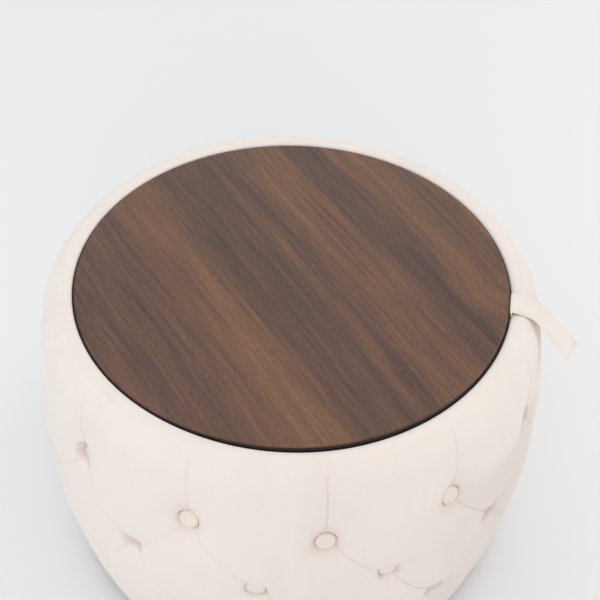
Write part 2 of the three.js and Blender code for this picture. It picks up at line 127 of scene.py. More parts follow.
class Shader:
    """The nodes of a material or a world under construction."""

    def __init__(self, owner: Material | bpy.types.World) -> None:
        """Starts with no nodes at all."""
        self.owner = owner
        owner.use_nodes = True
        self.tree = owner.node_tree
        self.tree.nodes.clear()

    @classmethod
    def named(cls, name: str) -> "Shader":
        """The shader of a new material."""
        return cls(bpy.data.materials.new(name))

    def node(self, kind: str, settings: dict, inputs: dict) -> bpy.types.Node:
        """Adds any node.

        Args:
            kind: the node's type.
            settings: its properties, set first; "stops" is a colour ramp's (place, colour) list.
            inputs: a number, colour, vector, socket or Value for each input, by name or index.

        Returns:
            The new node.
        """
        made = self.tree.nodes.new(kind)
        for name, setting in settings.items():
            if name == "stops":
                self._set_stops(made.color_ramp, setting)
            else:
                setattr(made, name, setting)
        for key, given in inputs.items():
            if isinstance(given, Value):
                given = given.socket
            if isinstance(given, Socket):
                self.tree.links.new(given, made.inputs[key])
            elif made.inputs[key].type == "RGBA":
                made.inputs[key].default_value = (*given, 1.0)
            else:
                made.inputs[key].default_value = given
        return made

    @staticmethod
    def _set_stops(ramp: bpy.types.ColorRamp, stops: Stops) -> None:
        """Gives a colour ramp its stops."""
        while len(ramp.elements) < len(stops):
            ramp.elements.new(1.0)
        for element, (place, colour) in zip(ramp.elements, stops):
            element.position = place
            element.color = (*colour, 1.0)

    def math(self, operation: str, *values: Number) -> Value:
        """A Math node's result."""
        made = self.node("ShaderNodeMath", {"operation": operation}, dict(enumerate(values)))
        return Value(self, made.outputs[0])

    def place(self, turn: Triple = (0.0, 0.0, 0.0), stretch: Triple = (1.0, 1.0, 1.0)) -> Socket:
        """Object coordinates, stretched and turned by a Mapping node."""
        coordinates = self.node("ShaderNodeTexCoord", {}, {}).outputs["Object"]
        inputs = {"Vector": coordinates, "Rotation": turn, "Scale": stretch}
        return self.node("ShaderNodeMapping", {}, inputs).outputs[0]

    def axes(self, vector: Socket) -> tuple[Value, Value, Value]:
        """The three numbers of a vector."""
        made = self.node("ShaderNodeSeparateXYZ", {}, {"Vector": vector})
        return tuple(Value(self, made.outputs[i]) for i in range(3))

    def vector(self, x: Number, y: Number, z: Number) -> Socket:
        """A vector from three numbers."""
        return self.node("ShaderNodeCombineXYZ", {}, {"X": x, "Y": y, "Z": z}).outputs[0]

    def noise(
        self, where: Socket, scale: float, detail: float = 2.0, roughness: float = 0.5
    ) -> Value:
        """Noise about 0.5 at a vector."""
        inputs = {"Vector": where, "Scale": scale, "Detail": detail, "Roughness": roughness}
        return Value(self, self.node("ShaderNodeTexNoise", {}, inputs).outputs["Fac"])

    def attribute(self, name: str, output: str = "Fac") -> Value:
        """A number kept on the mesh, or with "Vector" three of them."""
        made = self.node("ShaderNodeAttribute", {"attribute_name": name}, {})
        return Value(self, made.outputs[output])

    def mix(self, share: Number, first: object, second: object) -> Socket:
        """A colour between two, by a share from 0 to 1."""
        settings = {"data_type": "RGBA", "blend_type": "MIX"}
        return self.node("ShaderNodeMix", settings, {0: share, 6: first, 7: second}).outputs[2]

    def ramp(self, value: Value, stops: Stops, ease: bool = False) -> Socket:
        """A colour from a ramp, which may ease from stop to stop."""
        made = self.node("ShaderNodeValToRGB", {"stops": stops}, {"Fac": value})
        made.color_ramp.interpolation = "EASE" if ease else "LINEAR"
        return made.outputs["Color"]

    def bump(
        self, height: Value, distance: float, strength: float = 1.0, after: object = None
    ) -> Socket:
        """A normal bent by a height, on top of another bump if one is given."""
        inputs = {"Height": height, "Distance": distance, "Strength": strength}
        if after is not None:
            inputs["Normal"] = after
        return self.node("ShaderNodeBump", {}, inputs).outputs["Normal"]

    def finish(
        self, colour: object, roughness: Number, normal: Socket | None = None, **constants: float
    ) -> Material:
        """Joins everything in one Principled shader.

        Args:
            colour: the base colour, a tuple or a socket.
            roughness: a number or a Value.
            normal: a bump's normal, if any.
            constants: numbers for other sockets, with _ for each space in their names.

        Returns:
            The finished material.
        """
        inputs = {"Base Color": colour, "Roughness": roughness}
        inputs |= {name.replace("_", " "): number for name, number in constants.items()}
        if normal is not None:
            inputs["Normal"] = normal
        shader = self.node("ShaderNodeBsdfPrincipled", {}, inputs)
        self.node("ShaderNodeOutputMaterial", {}, {"Surface": shader.outputs[0]})
        return self.owner


# ---------------------------------------------------------------------- finishes


@dataclass(frozen=True)
class Velvet:
    """Short-pile ivory velvet: a matte pile with a faint sheen, and warm painted shade where drawn
    in.
    """

    name: str = "velvet_ivory"
    colour: Colour = (0.86, 0.79, 0.748)
    brushed: Colour = (0.81, 0.74, 0.697)
    # painted shade colour of broad patches below the top buttons
    ruffled: Colour = (0.68, 0.60, 0.56)
    # painted shade colour for the pockets' walls, the buttons' rims and the crease and seam lines
    shade_colour: Colour = (0.70, 0.53, 0.45)
    roughness: float = 0.86
    sheen: float = 0.25
    brush_grain: float = 11.0
    nap_grain: float = 90.0
    nap_height: float = 0.35 * MM
    pile_grain: float = 1500.0
    pile_height: float = 0.25 * MM
    line_width: float = 1.1
    line_share: float = 0.5
    line_depth: float = 0.8 * MM

    def _lines(self, shader: Shader) -> Value:
        """The darkest of three creases and seams, each strength * exp(-(distance / width)^2)."""
        distances = shader.axes(shader.attribute("line_distance", "Vector").socket)
        strengths = shader.axes(shader.attribute("line_strength", "Vector").socket)
        darkest = None
        for distance, strength in zip(distances, strengths):
            line = strength * (distance / self.line_width).bell()
            darkest = line if darkest is None else shader.math("MAXIMUM", darkest, line)
        return darkest

    def material(self, paints_shade: bool = False) -> Material:
        """Builds the material; the flag makes it read the mesh's attributes and paint shade from
        them.
        """
        shader = Shader.named(self.name + ("_with_shade" if paints_shade else ""))
        brushing = shader.noise(shader.place(stretch=(1.0, 1.0, 0.35)), self.brush_grain, 3.0, 0.55)
        nap = shader.noise(shader.place(stretch=(1.0, 1.0, 0.5)), self.nap_grain, 3.0, 0.6)
        pile = shader.noise(shader.place(), self.pile_grain, 2.0, 0.6)
        marks = brushing.between(0.42, 0.72) * 0.55 + nap.between(0.45, 0.75) * 0.2
        colour = shader.mix(marks, self.colour, self.brushed)
        normal = shader.bump(nap, self.nap_height, 0.5)
        if paints_shade:
            line = self._lines(shader)
            # painted shade in broad patches below the top buttons
            colour = shader.mix(shader.attribute("ruffled"), colour, self.ruffled)
            # painted shade on the pockets' walls and the buttons' rims
            colour = shader.mix(shader.attribute("fold"), colour, self.shade_colour)
            # painted shade darkens the crease and seam lines; the bump below also dents them
            colour = shader.mix(line * self.line_share, colour, self.shade_colour)
            normal = shader.bump(line * -1.0, self.line_depth, 0.8, after=normal)
        normal = shader.bump(pile, self.pile_height, 0.7, after=normal)
        return shader.finish(
            colour,
            self.roughness + (nap - 0.5) * 0.1,
            normal,
            Sheen_Weight=self.sheen,
            Sheen_Roughness=0.4,
            Specular_IOR_Level=0.15,
        )


BUTTON_VELVET = Velvet("velvet_button", (0.83, 0.772, 0.71), (0.785, 0.725, 0.66))


@dataclass(frozen=True)
class Grain:
    """One layer of wood grain: noise drawn out along the grain, and how much the layer counts."""

    along: float
    across: float
    seed: float
    detail: float = 2.0
    roughness: float = 0.6
    amount: float = 1.0

    def noise(self, shader: Shader, along: Value, across: Value) -> Value:
        """The layer's noise, about 0.5."""
        where = shader.vector(along * self.along, across * self.across, self.seed)
        return shader.noise(where, 1.0, self.detail, self.roughness)

    def wave(self, shader: Shader, along: Value, across: Value) -> Value:
        """The layer's noise about 0."""
        return self.noise(shader, along, across) - 0.5


@dataclass(frozen=True)
class Walnut:
    """Oiled walnut veneer: dark, reddish and golden bands, fine lines, pores and a curl.

    The bands are (distance across the grain in mm, lightness) stops. The reddish tones and the
    golden ones go from dark to light, and the lighter bands take more of the golden.
    """

    name: str = "walnut_veneer"
    grain_angle: float = -59.0
    reach: float = 270 * MM
    bands: Table = (
        (-240, 0.50),
        (-195, 0.38),
        (-150, 0.42),
        (-117, 0.78),
        (-84, 0.95),
        (-64, 0.55),
        (-53, 0.12),
        (-26, 0.36),
        (8, 0.20),
        (22, 0.78),
        (34, 0.28),
        (58, 0.52),
        (90, 0.68),
        (114, 0.70),
        (136, 0.24),
        (157, 0.0),
        (176, 0.66),
        (198, 0.82),
        (250, 0.60),
    )
    tones: Stops = (
        (0.05, (0.042, 0.021, 0.015)),
        (0.27, (0.077, 0.039, 0.029)),
        (0.50, (0.121, 0.057, 0.039)),
        (0.73, (0.166, 0.078, 0.051)),
        (0.95, (0.222, 0.113, 0.076)),
    )
    golden: Stops = (
        (0.05, (0.045, 0.024, 0.014)),
        (0.27, (0.086, 0.043, 0.025)),
        (0.50, (0.138, 0.063, 0.034)),
        (0.73, (0.192, 0.088, 0.044)),
        (0.95, (0.254, 0.124, 0.064)),
    )
    pore: Colour = (0.045, 0.028, 0.021)
    roughness: float = 0.42

    slow: Grain = Grain(2.4, 7.0, 2.0, roughness=0.5, amount=24 * MM)
    quick: Grain = Grain(11.0, 30.0, 5.0, roughness=0.5, amount=4 * MM)
    curl: tuple[float, float] = (228 * MM, -12 * MM)
    curl_size: float = 34 * MM
    curl_push: float = 15 * MM

    base: float = 0.30
    band_amount: float = 0.36
    cloud: Grain = Grain(3.5, 24.0, 1.0, 3.0, 0.55, 0.6)
    rings: float = 60.0
    ring_amount: float = 0.13
    streak: Grain = Grain(8.0, 190.0, 0.0, 3.0, amount=0.84)
    fibre: Grain = Grain(150.0, 900.0, 3.0, amount=0.92)
    pores: Grain = Grain(110.0, 620.0, 7.0, amount=0.4)

    def _across(self, shader: Shader, x: Value, y: Value, along: Value, across: Value) -> Value:
        """Where the grain is: the distance across it, which wanders and bends round the curl.

        The curl pushes the lines aside by push * exp(-(distance / size)^2).
        """
        slow = self.slow.wave(shader, along, across) * self.slow.amount
        quick = self.quick.wave(shader, along, across) * self.quick.amount
        aside = ((x - self.curl[0]) / self.curl_size).bell()
        up = ((y - self.curl[1]) / self.curl_size).bell()
        return across + slow + quick + aside * up * self.curl_push

    def material(self) -> Material:
        """Builds the material: along the grain is the mapped X, and across it is Y."""
        shader = Shader.named(self.name)
        x, y, _ = shader.axes(shader.place())
        turn = (0.0, 0.0, math.radians(-self.grain_angle))
        along, across, _ = shader.axes(shader.place(turn=turn))
        bent = self._across(shader, x, y, along, across)
        stops = [(0.5 + place * MM / self.reach / 2, (tone,) * 3) for place, tone in self.bands]
        board = shader.ramp(bent / (2 * self.reach) + 0.5, stops, ease=True)
        band = Value(shader, shader.node("ShaderNodeRGBToBW", {}, {"Color": board}).outputs[0])
        cloud = self.cloud.wave(shader, along, bent)
        streak = self.streak.wave(shader, along, bent)
        fibre = self.fibre.wave(shader, along, bent)
        ring = shader.math("FRACT", bent * self.rings + cloud * 3.0) - 0.5
        figure = self.base + band * self.band_amount + cloud * self.cloud.amount
        figure += ring * self.ring_amount + streak * self.streak.amount + fibre * self.fibre.amount
        sunlit = (band + cloud * 1.2 + streak * 0.8).between(0.4, 0.85)
        wood = shader.mix(sunlit, shader.ramp(figure, self.tones), shader.ramp(figure, self.golden))
        pits = self.pores.noise(shader, along, bent).between(0.58, 0.72)
        wood = shader.mix(pits * self.pores.amount, wood, self.pore)
        normal = shader.bump(pits * -1.0 + fibre * 0.3, 0.1 * MM, 0.5)
        roughness = self.roughness + pits * 0.2 + streak * 0.1
        return shader.finish(wood, roughness, normal, Specular_IOR_Level=0.5)


@dataclass(frozen=True)
class EdgeBand:
    """Dark stained edge band with faint streaks along its length."""

    name: str = "edge_band_dark"
    dark: Colour = (0.014, 0.010, 0.009)
    light: Colour = (0.035, 0.024, 0.02)

    def material(self) -> Material:
        """Builds the material."""
        shader = Shader.named(self.name)
        streak = shader.noise(shader.place(stretch=(6.0, 6.0, 900.0)), 1.0, 3.0)
        colour = shader.mix(streak.between(0.35, 0.7), self.dark, self.light)
        return shader.finish(colour, 0.5 + streak * 0.1, shader.bump(streak, 0.05 * MM, 0.4))


@dataclass(frozen=True)
class Plywood:
    """Birch plywood: pale faces and a striped edge."""

    name: str = "plywood"
    light: Colour = (0.60, 0.44, 0.26)
    dark: Colour = (0.38, 0.25, 0.13)
    ply: float = 1.5 * MM

    def material(self) -> Material:
        """Builds the material: the plies alternate with height."""
        shader = Shader.named(self.name)
        _, _, up = shader.axes(shader.place())
        plies = (up * (math.pi / self.ply)).sine().between(-0.2, 0.2)
        grain = shader.noise(shader.place(stretch=(14.0, 160.0, 14.0)), 1.0, 4.0, 0.6)
        shade = plies * 0.35 + grain.between(0.35, 0.75) * 0.4
        colour = shader.mix(shade, self.light, self.dark)
        return shader.finish(colour, 0.72, shader.bump(grain, 0.15 * MM, 0.5))


@dataclass(frozen=True)
class Fibre:
    """Pressed, felted or foamed stuff: one colour broken up by flecks, and a bumpy surface."""

    name: str
    colour: Colour
    fleck: Colour
    grain: float
    height: float
    roughness: float = 0.95
    dots: float = 0.0

    def material(self) -> Material:
        """Builds the material; dots, if not 0, is the spacing of embossed points."""
        shader = Shader.named(self.name)
        flecks = shader.noise(shader.place(), self.grain, 3.0, 0.65)
        cloud = shader.noise(shader.place(), self.grain / 12, 2.0)
        colour = shader.mix(flecks.between(0.4, 0.7) * 0.6 + cloud * 0.2, self.colour, self.fleck)
        normal = shader.bump(flecks, self.height, 0.6)
        if self.dots:
            inputs = {"Vector": shader.place(), "Scale": 1.0 / self.dots, "Randomness": 0.15}
            cell = shader.node("ShaderNodeTexVoronoi", {}, inputs).outputs["Distance"]
            pressed = Value(shader, cell).between(0.15, 0.4)
            colour = shader.mix((1 - pressed) * 0.3, colour, self.fleck)
            normal = shader.bump(pressed, self.height, 0.8, after=normal)
        return shader.finish(colour, self.roughness + (flecks - 0.5) * 0.1, normal)


@dataclass(frozen=True)
class Thread:
    """Spun polyester sewing thread."""

    name: str = "sewing_thread"
    colour: Colour = (0.92, 0.87, 0.83)
    shaded: Colour = (0.80, 0.72, 0.66)

    def material(self) -> Material:
        """Builds the material: a fine twist across each stitch."""
        shader = Shader.named(self.name)
        twist = shader.noise(shader.place(), 2600.0, 1.0)
        colour = shader.mix(twist.between(0.35, 0.65), self.colour, self.shaded)
        return shader.finish(colour, 0.7, shader.bump(twist, 0.08 * MM, 0.6), Sheen_Weight=0.2)


HEM_THREAD = Thread("hem_thread", (0.80, 0.68, 0.59), (0.68, 0.55, 0.46))


@dataclass(frozen=True)
class Steel:
    """Galvanised staple wire."""

    name: str = "staple_wire"
    colour: Colour = (0.55, 0.55, 0.56)
    dulled: Colour = (0.36, 0.36, 0.37)

    def material(self) -> Material:
        """Builds the material."""
        shader = Shader.named(self.name)
        dull = shader.noise(shader.place(), 700.0, 2.0)
        colour = shader.mix(dull.between(0.4, 0.7), self.colour, self.dulled)
        normal = shader.bump(dull, 0.02 * MM, 0.3)
        return shader.finish(colour, 0.32 + dull * 0.2, normal, Metallic=0.9)


HARDBOARD = Fibre("hardboard", (0.25, 0.15, 0.075), (0.16, 0.09, 0.045), 420.0, 0.1 * MM, 0.8)
FOAM = Fibre("upholstery_foam", (0.86, 0.78, 0.56), (0.74, 0.64, 0.42), 700.0, 0.6 * MM)
LINING = Fibre(
    "lining_felt", (0.60, 0.54, 0.47), (0.50, 0.44, 0.38), 900.0, 0.12 * MM, 0.92, dots=2.6 * MM
)
DUST_CLOTH = Fibre(
    "dust_cloth", (0.016, 0.016, 0.017), (0.03, 0.03, 0.032), 800.0, 0.1 * MM, 0.9, dots=2.2 * MM
)
PLASTIC = Fibre(
    "glide_plastic", (0.012, 0.012, 0.012), (0.022, 0.022, 0.023), 500.0, 0.03 * MM, 0.45
)


# ---------------------------------------------------------------------- meshes


class Slot(Enum):
    """The record's material slot names for the new pieces' finishes; nothing here uses them."""

    VELVET = "velvet"
    FOAM = "foam"
    LINING = "lining_cloth"
    DUST = "dust_cloth"
    PLASTIC = "glide_plastic"


def polar(angle: Array, radius: Array, height: Array) -> Array:
    """Points (r sin a, -r cos a, z) from angles, radii and heights of one shape."""
    x, y = radius * np.sin(angle), -radius * np.cos(angle)
    return np.stack([x, y, height + 0.0 * angle], axis=-1)


def off_angle(angle: Array, middle: float = 0.0) -> Array:
    """How many degrees an angle is past a middle one, from -180 to 180."""
    return (angle - middle + 180.0) % 360.0 - 180.0


def bell(x: Array, width: float) -> Array:
    """exp(-(x / width)^2)."""
    return np.exp(-((x / width) ** 2))


def smoothstep(x: Array, low: float, high: float) -> Array:
    """0 below low, 1 above high, and 3t^2 - 2t^3 between them."""
    t = np.clip((x - low) / (high - low), 0.0, 1.0)
    return t * t * (3.0 - 2.0 * t)


def lengths(line: Array) -> Array:
    """The distance along a line of (x, y) points to each of them."""
    return np.concatenate([[0.0], np.cumsum(np.hypot(*np.diff(line, axis=0).T))])


def grid_faces(rows: int, columns: int, wrap_rows: bool, wrap_columns: bool) -> Array:
    """The four corners of each face of a grid whose point (i, j) is number i * columns + j."""
    i = np.arange(rows if wrap_rows else rows - 1)
    j = np.arange(columns if wrap_columns else columns - 1)
    i, j = (part.ravel() for part in np.meshgrid(i, j, indexing="ij"))
    ahead, beside = (i + 1) % rows, (j + 1) % columns
    corners = [i * columns + j, ahead * columns + j, ahead * columns + beside, i * columns + beside]
    return np.stack(corners, axis=-1)


def piece(name: str, points: Array, faces: Array, finish: Material, merge: bool = True) -> Piece:
    """Makes a closed, smooth-shaded mesh whose faces point outwards.

    Args:
        name: the new object's name.
        points: its points, in any shape that ends in 3.
        faces: a row of corner numbers for each face.
        finish: its material.
        merge: joins points that coincide, which closes a grid's poles.

    Returns:
        The object, at the origin.
    """
    mesh = bpy.data.meshes.new(name)
    mesh.from_pydata(points.reshape(-1, 3).tolist(), [], faces.tolist())
    work = bmesh.new()
    work.from_mesh(mesh)
    if merge:
        bmesh.ops.remove_doubles(work, verts=work.verts, dist=1e-7)
    if work.calc_volume(signed=True) < 0:
        bmesh.ops.reverse_faces(work, faces=work.faces)
    for face in work.faces:
        face.smooth = True
    work.to_mesh(mesh)
    work.free()
    mesh.materials.append(finish)
    made = bpy.data.objects.new(name, mesh)
    bpy.context.scene.collection.objects.link(made)
    return made


def revolved(name: str, section: Section, finish: Material, sides: int = 144) -> Piece:
    """A solid of revolution about Z: its (radius, height) outline at equal angles all round."""
    outline = np.array(section)
    angles = np.linspace(0.0, 2.0 * np.pi, sides, endpoint=False)[:, None]
    heights = np.broadcast_to(outline[None, :, 1], (sides, len(outline)))
    points = polar(angles, outline[None, :, 0], heights)
    on_axis = outline[0, 0] == 0.0 and outline[-1, 0] == 0.0
    return piece(name, points, grid_faces(sides, len(outline), True, not on_axis), finish)


def rounded(section: Section, radius: float, steps: int) -> list[tuple[float, float]]:
    """An outline with each of its corners, apart from its two ends, replaced by a curve.

    Each corner becomes the quadratic curve (1-t)^2 A + 2t(1-t) corner + t^2 B, where A and B
    lie on its two sides at the given distance from it, or at the middle of a shorter side.
    """
    corners = np.array(section, float)
    curve = []
    for before, corner, after in zip(corners, corners[1:], corners[2:]):
        ends = []
        for side in (before - corner, after - corner):
            ends.append(corner + side * min(0.5, radius / max(np.hypot(*side), 1e-9)))
        for t in np.linspace(0.0, 1.0, steps + 1):
            curve.append((1 - t) ** 2 * ends[0] + 2 * t * (1 - t) * corner + t * t * ends[1])
    return [section[0], *(tuple(point) for point in curve), section[-1]]


def keep(made: Piece, name: str, values: Array) -> None:
    """Keeps numbers on a mesh's points: the last axis holds one for each, or three."""
    kind, slot = ("FLOAT_VECTOR", "vector") if values.shape[-1] == 3 else ("FLOAT", "value")
    kept = made.data.attributes.new(name, kind, "POINT")
    kept.data.foreach_set(slot, values.astype(np.float32).ravel())


def repeated(name: str, points: Array, faces: Array, places: Array, finish: Material) -> Piece:
    """One mesh of many copies of a small shape.

    Args:
        name: the new object's name.
        points: the shape's points.
        faces: its faces.
        places: a 4 x 4 matrix for each copy.
        finish: the material.

    Returns:
        The object.
    """
    spread = points @ np.swapaxes(places[:, :3, :3], 1, 2) + places[:, None, :3, 3]
    shifted = faces[None] + (np.arange(len(places)) * len(points))[:, None, None]
    return piece(name, spread, shifted.reshape(-1, faces.shape[1]), finish, merge=False)


def capped_tube(rings: Array) -> tuple[Array, Array]:
    """A tube from its rings of points: the points, and triangles that fan out at both ends."""
    count, sides = rings.shape[:2]
    body = grid_faces(count, sides, False, True)
    ring = np.arange(sides)
    after, last = (ring + 1) % sides, (count - 1) * sides
    tip = np.full(sides, count * sides)
    faces = [
        body[:, [0, 1, 2]],
        body[:, [0, 2, 3]],
        np.stack([tip, ring, after], axis=-1),
        np.stack([tip + 1, last + after, last + ring], axis=-1),
    ]
    middles = rings[[0, -1]].mean(axis=1)
    return np.concatenate([rings.reshape(-1, 3), middles]), np.concatenate(faces)


def capsule(length: float, radius: float, sides: int = 6, rings: int = 6) -> tuple[Array, Array]:
    """A stitch along X: a round bar whose ends close and dive by a radius, as a half wave does."""
    u = np.linspace(0.0, 1.0, rings)[:, None]
    v = np.linspace(0.0, 2.0 * np.pi, sides, endpoint=False)[None, :]
    girth = radius * np.sqrt(np.clip(1.0 - (2.0 * u - 1.0) ** 4, 0.02, 1.0))
    rise = radius * (1.6 * np.sin(np.pi * u) - 0.9)
    ring = [(u - 0.5) * length + 0.0 * v, girth * np.cos(v), girth * np.sin(v) + rise]
    return capped_tube(np.stack(ring, axis=-1))


def standing(points: Array, along: Array, out: Array) -> Array:
    """4 x 4 places whose X runs along one direction and whose Z points out of the surface."""
    x = along / np.linalg.norm(along, axis=-1, keepdims=True)
    y = np.cross(out, x)
    y /= np.linalg.norm(y, axis=-1, keepdims=True)
    places = np.zeros((len(points), 4, 4))
    places[:, :3, 0], places[:, :3, 1], places[:, :3, 2] = x, y, np.cross(x, y)
    places[:, :3, 3], places[:, 3, 3] = points, 1.0
    return places


# ---------------------------------------------------------------------- barrel


@dataclass
class Rise:
    """How the cloth comes up out of a row's pockets above the buttons, and how the buttons lean."""

    shoulder: float
    spread: float
    droop: float
    lean: float = 0.0


@dataclass
class Edge:
    """Where the barrel's profile ends, and how straight it is on its way there."""

    radius: float
    height: float
    power: float


@dataclass
class TuftedCover:
    """The velvet cover of the barrel: quilted in diamonds, drawn in at 36 buttons.

    The cloth is a grid of columns round the barrel and rows along its section. A row's height
    along the cloth is z on the side and goes on as arc length over the crown. The columns stand
    closer together at the buttons.

    The tables hold, in mm, how far each button is drawn in and how high it has drifted. A patch of
    painted shade is its middle and width in degrees and how dark it is.
    """

    crown_top: float = 420 * MM
    bottom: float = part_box("tufted_cover")[0].z
    opening_bottom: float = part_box("lid_pad_cover")[0].z
    widest: float = 320 * MM
    widest_height: float = 245 * MM
    base: Edge = field(default_factory=lambda: Edge(280 * MM, 13 * MM, 2.0))
    top: Edge = field(default_factory=lambda: Edge(298 * MM, 420 * MM, 2.4))
    crown_start: float = 385 * MM
    crown_radius: float = 282 * MM
    lip_radius: float = 267.9 * MM
    lip_height: float = 412 * MM
    opening: float = 270.5 * MM
    hem: float = 260 * MM
    cloth: float = 1.2 * MM
    quilt: float = 3 * MM
    backing: Table = (
        (296.7 * MM, 385 * MM),
        (291.5 * MM, 322 * MM),
        (292.0 * MM, 217 * MM),
        (284.0 * MM, 140 * MM),
        (279.6 * MM, 100 * MM),
        (278.5 * MM, 60 * MM),
    )

    columns: int = 720
    gather: float = 0.55
    row_step: float = 2.5 * MM
    first_seam: float = 8.28
    per_row: int = 12
    row_heights: tuple[float, ...] = (307 * MM, 217 * MM, 120 * MM)

    pulls: Table = (
        (17.5, 18.0, 22.0, 21.0, 20.0, 22.0, 19.5, 21.0, 22.0, 22.5, 24.0, 18.0),
        (19.5, 23.5, 22.0, 21.0, 22.5, 20.0, 22.0, 21.0, 22.5, 22.0, 24.0, 19.0),
        (20.0, 23.0, 21.0, 22.0, 20.5, 22.0, 21.5, 20.0, 22.5, 21.0, 22.5, 21.0),
    )
    drifts: Table = (
        (-3.5, 5.5, 0.5, -1.0, 1.0, 0.0, -1.5, 0.5, 1.0, -0.5, 8.0, 7.0),
        (6.5, -3.0, 0.0, 1.0, -1.0, 0.5, 0.0, -1.0, 1.0, 0.0, 7.0, -7.0),
        (-1.0, -3.5, 0.0, 0.5, -1.0, 1.0, 0.0, -1.5, 0.5, 0.0, 1.0, -1.0),
    )
    seat: float = 12.3 * MM
    wall: float = 3.4 * MM
    flush: float = 17.5 * MM
    deepest: float = 25.5 * MM
    shoulder: float = 10.3 * MM
    spread: float = 19 * MM
    rises: tuple[Rise, ...] = (
        Rise(12.5 * MM, 26 * MM, 0.0, 0.3),
        Rise(5 * MM, 11 * MM, 4 * MM),
        Rise(5 * MM, 11 * MM, 4 * MM),
    )
    pleat: float = 1.5 * MM
    pleat_end: float = 9 * MM
    pleat_run: float = 17 * MM
    pleat_above: float = 8 * MM
    pleat_below: float = 15 * MM
    groove: float = 0.7 * MM
    valley: float = 1.0 * MM
    uneven: float = 0.8 * MM
    groove_width: float = 1.6 * MM
    valley_width: float = 15 * MM
    # how strongly the seam lines show, in painted shade and in their bump
    seam_tone: float = 0.4
    tightest: float = 8.0
    tight_width: float = 38.0
    # painted shade patches: middle and width in degrees, and how dark
    shade_patches: Table = ((62, 26, 0.55), (165, 30, 0.3), (-110, 34, 0.35))
    tab_angle: float = 82.5
    tab_room: float = 2.4 * MM

    points: Array = field(init=False, repr=False)
    heights: Array = field(init=False, repr=False)
    angles: Array = field(init=False, repr=False)

    @property
    def pitch(self) -> float:
        """Degrees from a button to the next one in its row."""
        return 360.0 / self.per_row

    def radius(self, height: Array) -> Array:
        """The puffed side: widest - (widest - edge) * (share of the way to the edge)^power."""
        made = np.zeros_like(height)
        below = height < self.widest_height
        for edge, here in ((self.base, below), (self.top, ~below)):
            share = (height[here] - self.widest_height) / (edge.height - self.widest_height)
            made[here] = self.widest - (self.widest - edge.radius) * np.abs(share) ** edge.power
        return made

    def seam_distance(self, angle: Array, phase: float) -> Array:
        """Distance along the cloth, signed, to the nearest of the angles phase + pitch * k."""
        away = (angle - phase + self.pitch / 2) % self.pitch - self.pitch / 2
        return np.radians(away) * self.widest

    def phase(self, row: int) -> float:
        """The angle of a row's first button: every other row is half a pitch on."""
        return self.first_seam + (self.pitch / 2 if row % 2 else 0.0)

    def outer_section(self) -> tuple[Array, Array]:
        """The outside, from the hem up to the opening's bottom edge.

        The side follows radius(). The crown is three cubic curves: up from the side to level at
        the top, gently down to the lip that touches the lid, and back under it into the opening.
        Straight rows finish the hem and the opening.

        Returns:
            (radius, height) rows, and each row's height along the cloth.
        """
        low = self.bottom + 8 * MM
        count = round((self.crown_start - low) / self.row_step)
        side_z = self.crown_start - self.row_step * np.arange(count, -1, -1)
        side = np.stack([self.radius(side_z), side_z], axis=-1)
        start = side[-1]
        slope = side[-1] - side[-2]
        slope /= np.hypot(*slope)
        top = np.array([self.crown_radius, self.crown_top])
        lip = np.array([self.lip_radius, self.lip_height])
        shoulder = self._cubic(start, start + slope * 13 * MM, top + [9 * MM, 0.0], top, 18)
        drop = self._cubic(top, top - [5 * MM, 0.0], lip + [0.2 * MM, 5.5 * MM], lip, 12)
        wall_top = np.array([self.opening, self.lip_height - 9 * MM])
        under = self._cubic(lip, lip - [0.1 * MM, 3 * MM], wall_top + [0.0, 3 * MM], wall_top, 4)
        wall_z = np.linspace(wall_top[1], self.opening_bottom, 6)[1:]
        wall = np.stack([np.full(5, self.opening), wall_z], axis=-1)
        corner = side[0]
        foot = self._cubic(
            np.array([corner[0] - 6 * MM, self.bottom]),
            np.array([corner[0] - 2 * MM, self.bottom]),
            corner - [1.2 * MM, 4.5 * MM],
            corner,
            5,
        )
        hem = np.stack([np.linspace(self.hem, foot[0, 0], 5), np.full(5, self.bottom)], axis=-1)
        rows = np.concatenate([hem[:-1], foot[:-1], side, shoulder[1:], drop[1:], under[1:], wall])
        along = lengths(rows)
        first = len(hem) - 1 + len(foot) - 1
        return rows, along - along[first] + side_z[0]

    @staticmethod
    def _cubic(a: Array, b: Array, c: Array, d: Array, steps: int) -> Array:
        """A cubic curve: (1-t)^3 a + 3t(1-t)^2 b + 3t^2(1-t) c + t^3 d."""
        t = np.linspace(0.0, 1.0, steps + 1)[:, None]
        return (1 - t) ** 3 * a + 3 * t * (1 - t) ** 2 * b + 3 * t * t * (1 - t) * c + t**3 * d

    def inner_section(self) -> Array:
        """The inside, from the opening's bottom edge back over the foam and down to the hem."""
        inner_opening = self.opening + self.cloth
        top = self.crown_top - self.quilt
        over = self._cubic(
            np.array([inner_opening, self.lip_height - 3 * MM]),
            np.array([inner_opening, top - 2 * MM]),
            np.array([self.crown_radius - 5 * MM, top]),
            np.array([self.crown_radius, top]),
            4,
        )
        down = self._cubic(
            np.array([self.crown_radius, top]),
            np.array([self.crown_radius + 9 * MM, top]),
            np.array([self.backing[0][0], self.crown_start + 18 * MM]),
            np.array(self.backing[0]),
            6,
        )
        foot, last = self.bottom + self.cloth, self.backing[-1][0]
        tail = [(last - 0.8 * MM, foot + 6 * MM), (last - 3 * MM, foot)]
        lip = [(inner_opening, self.opening_bottom)]
        return np.concatenate([lip, over, down[1:], self.backing[1:], tail, [(self.hem, foot)]])

    def of_button(self, table: Table, angle: Array, row: int) -> Array:
        """The nearest button's own value in a table of millimetres."""
        number = np.round((angle - self.phase(row)) / self.pitch).astype(int) % self.per_row
        return np.array(table[row])[number] * MM

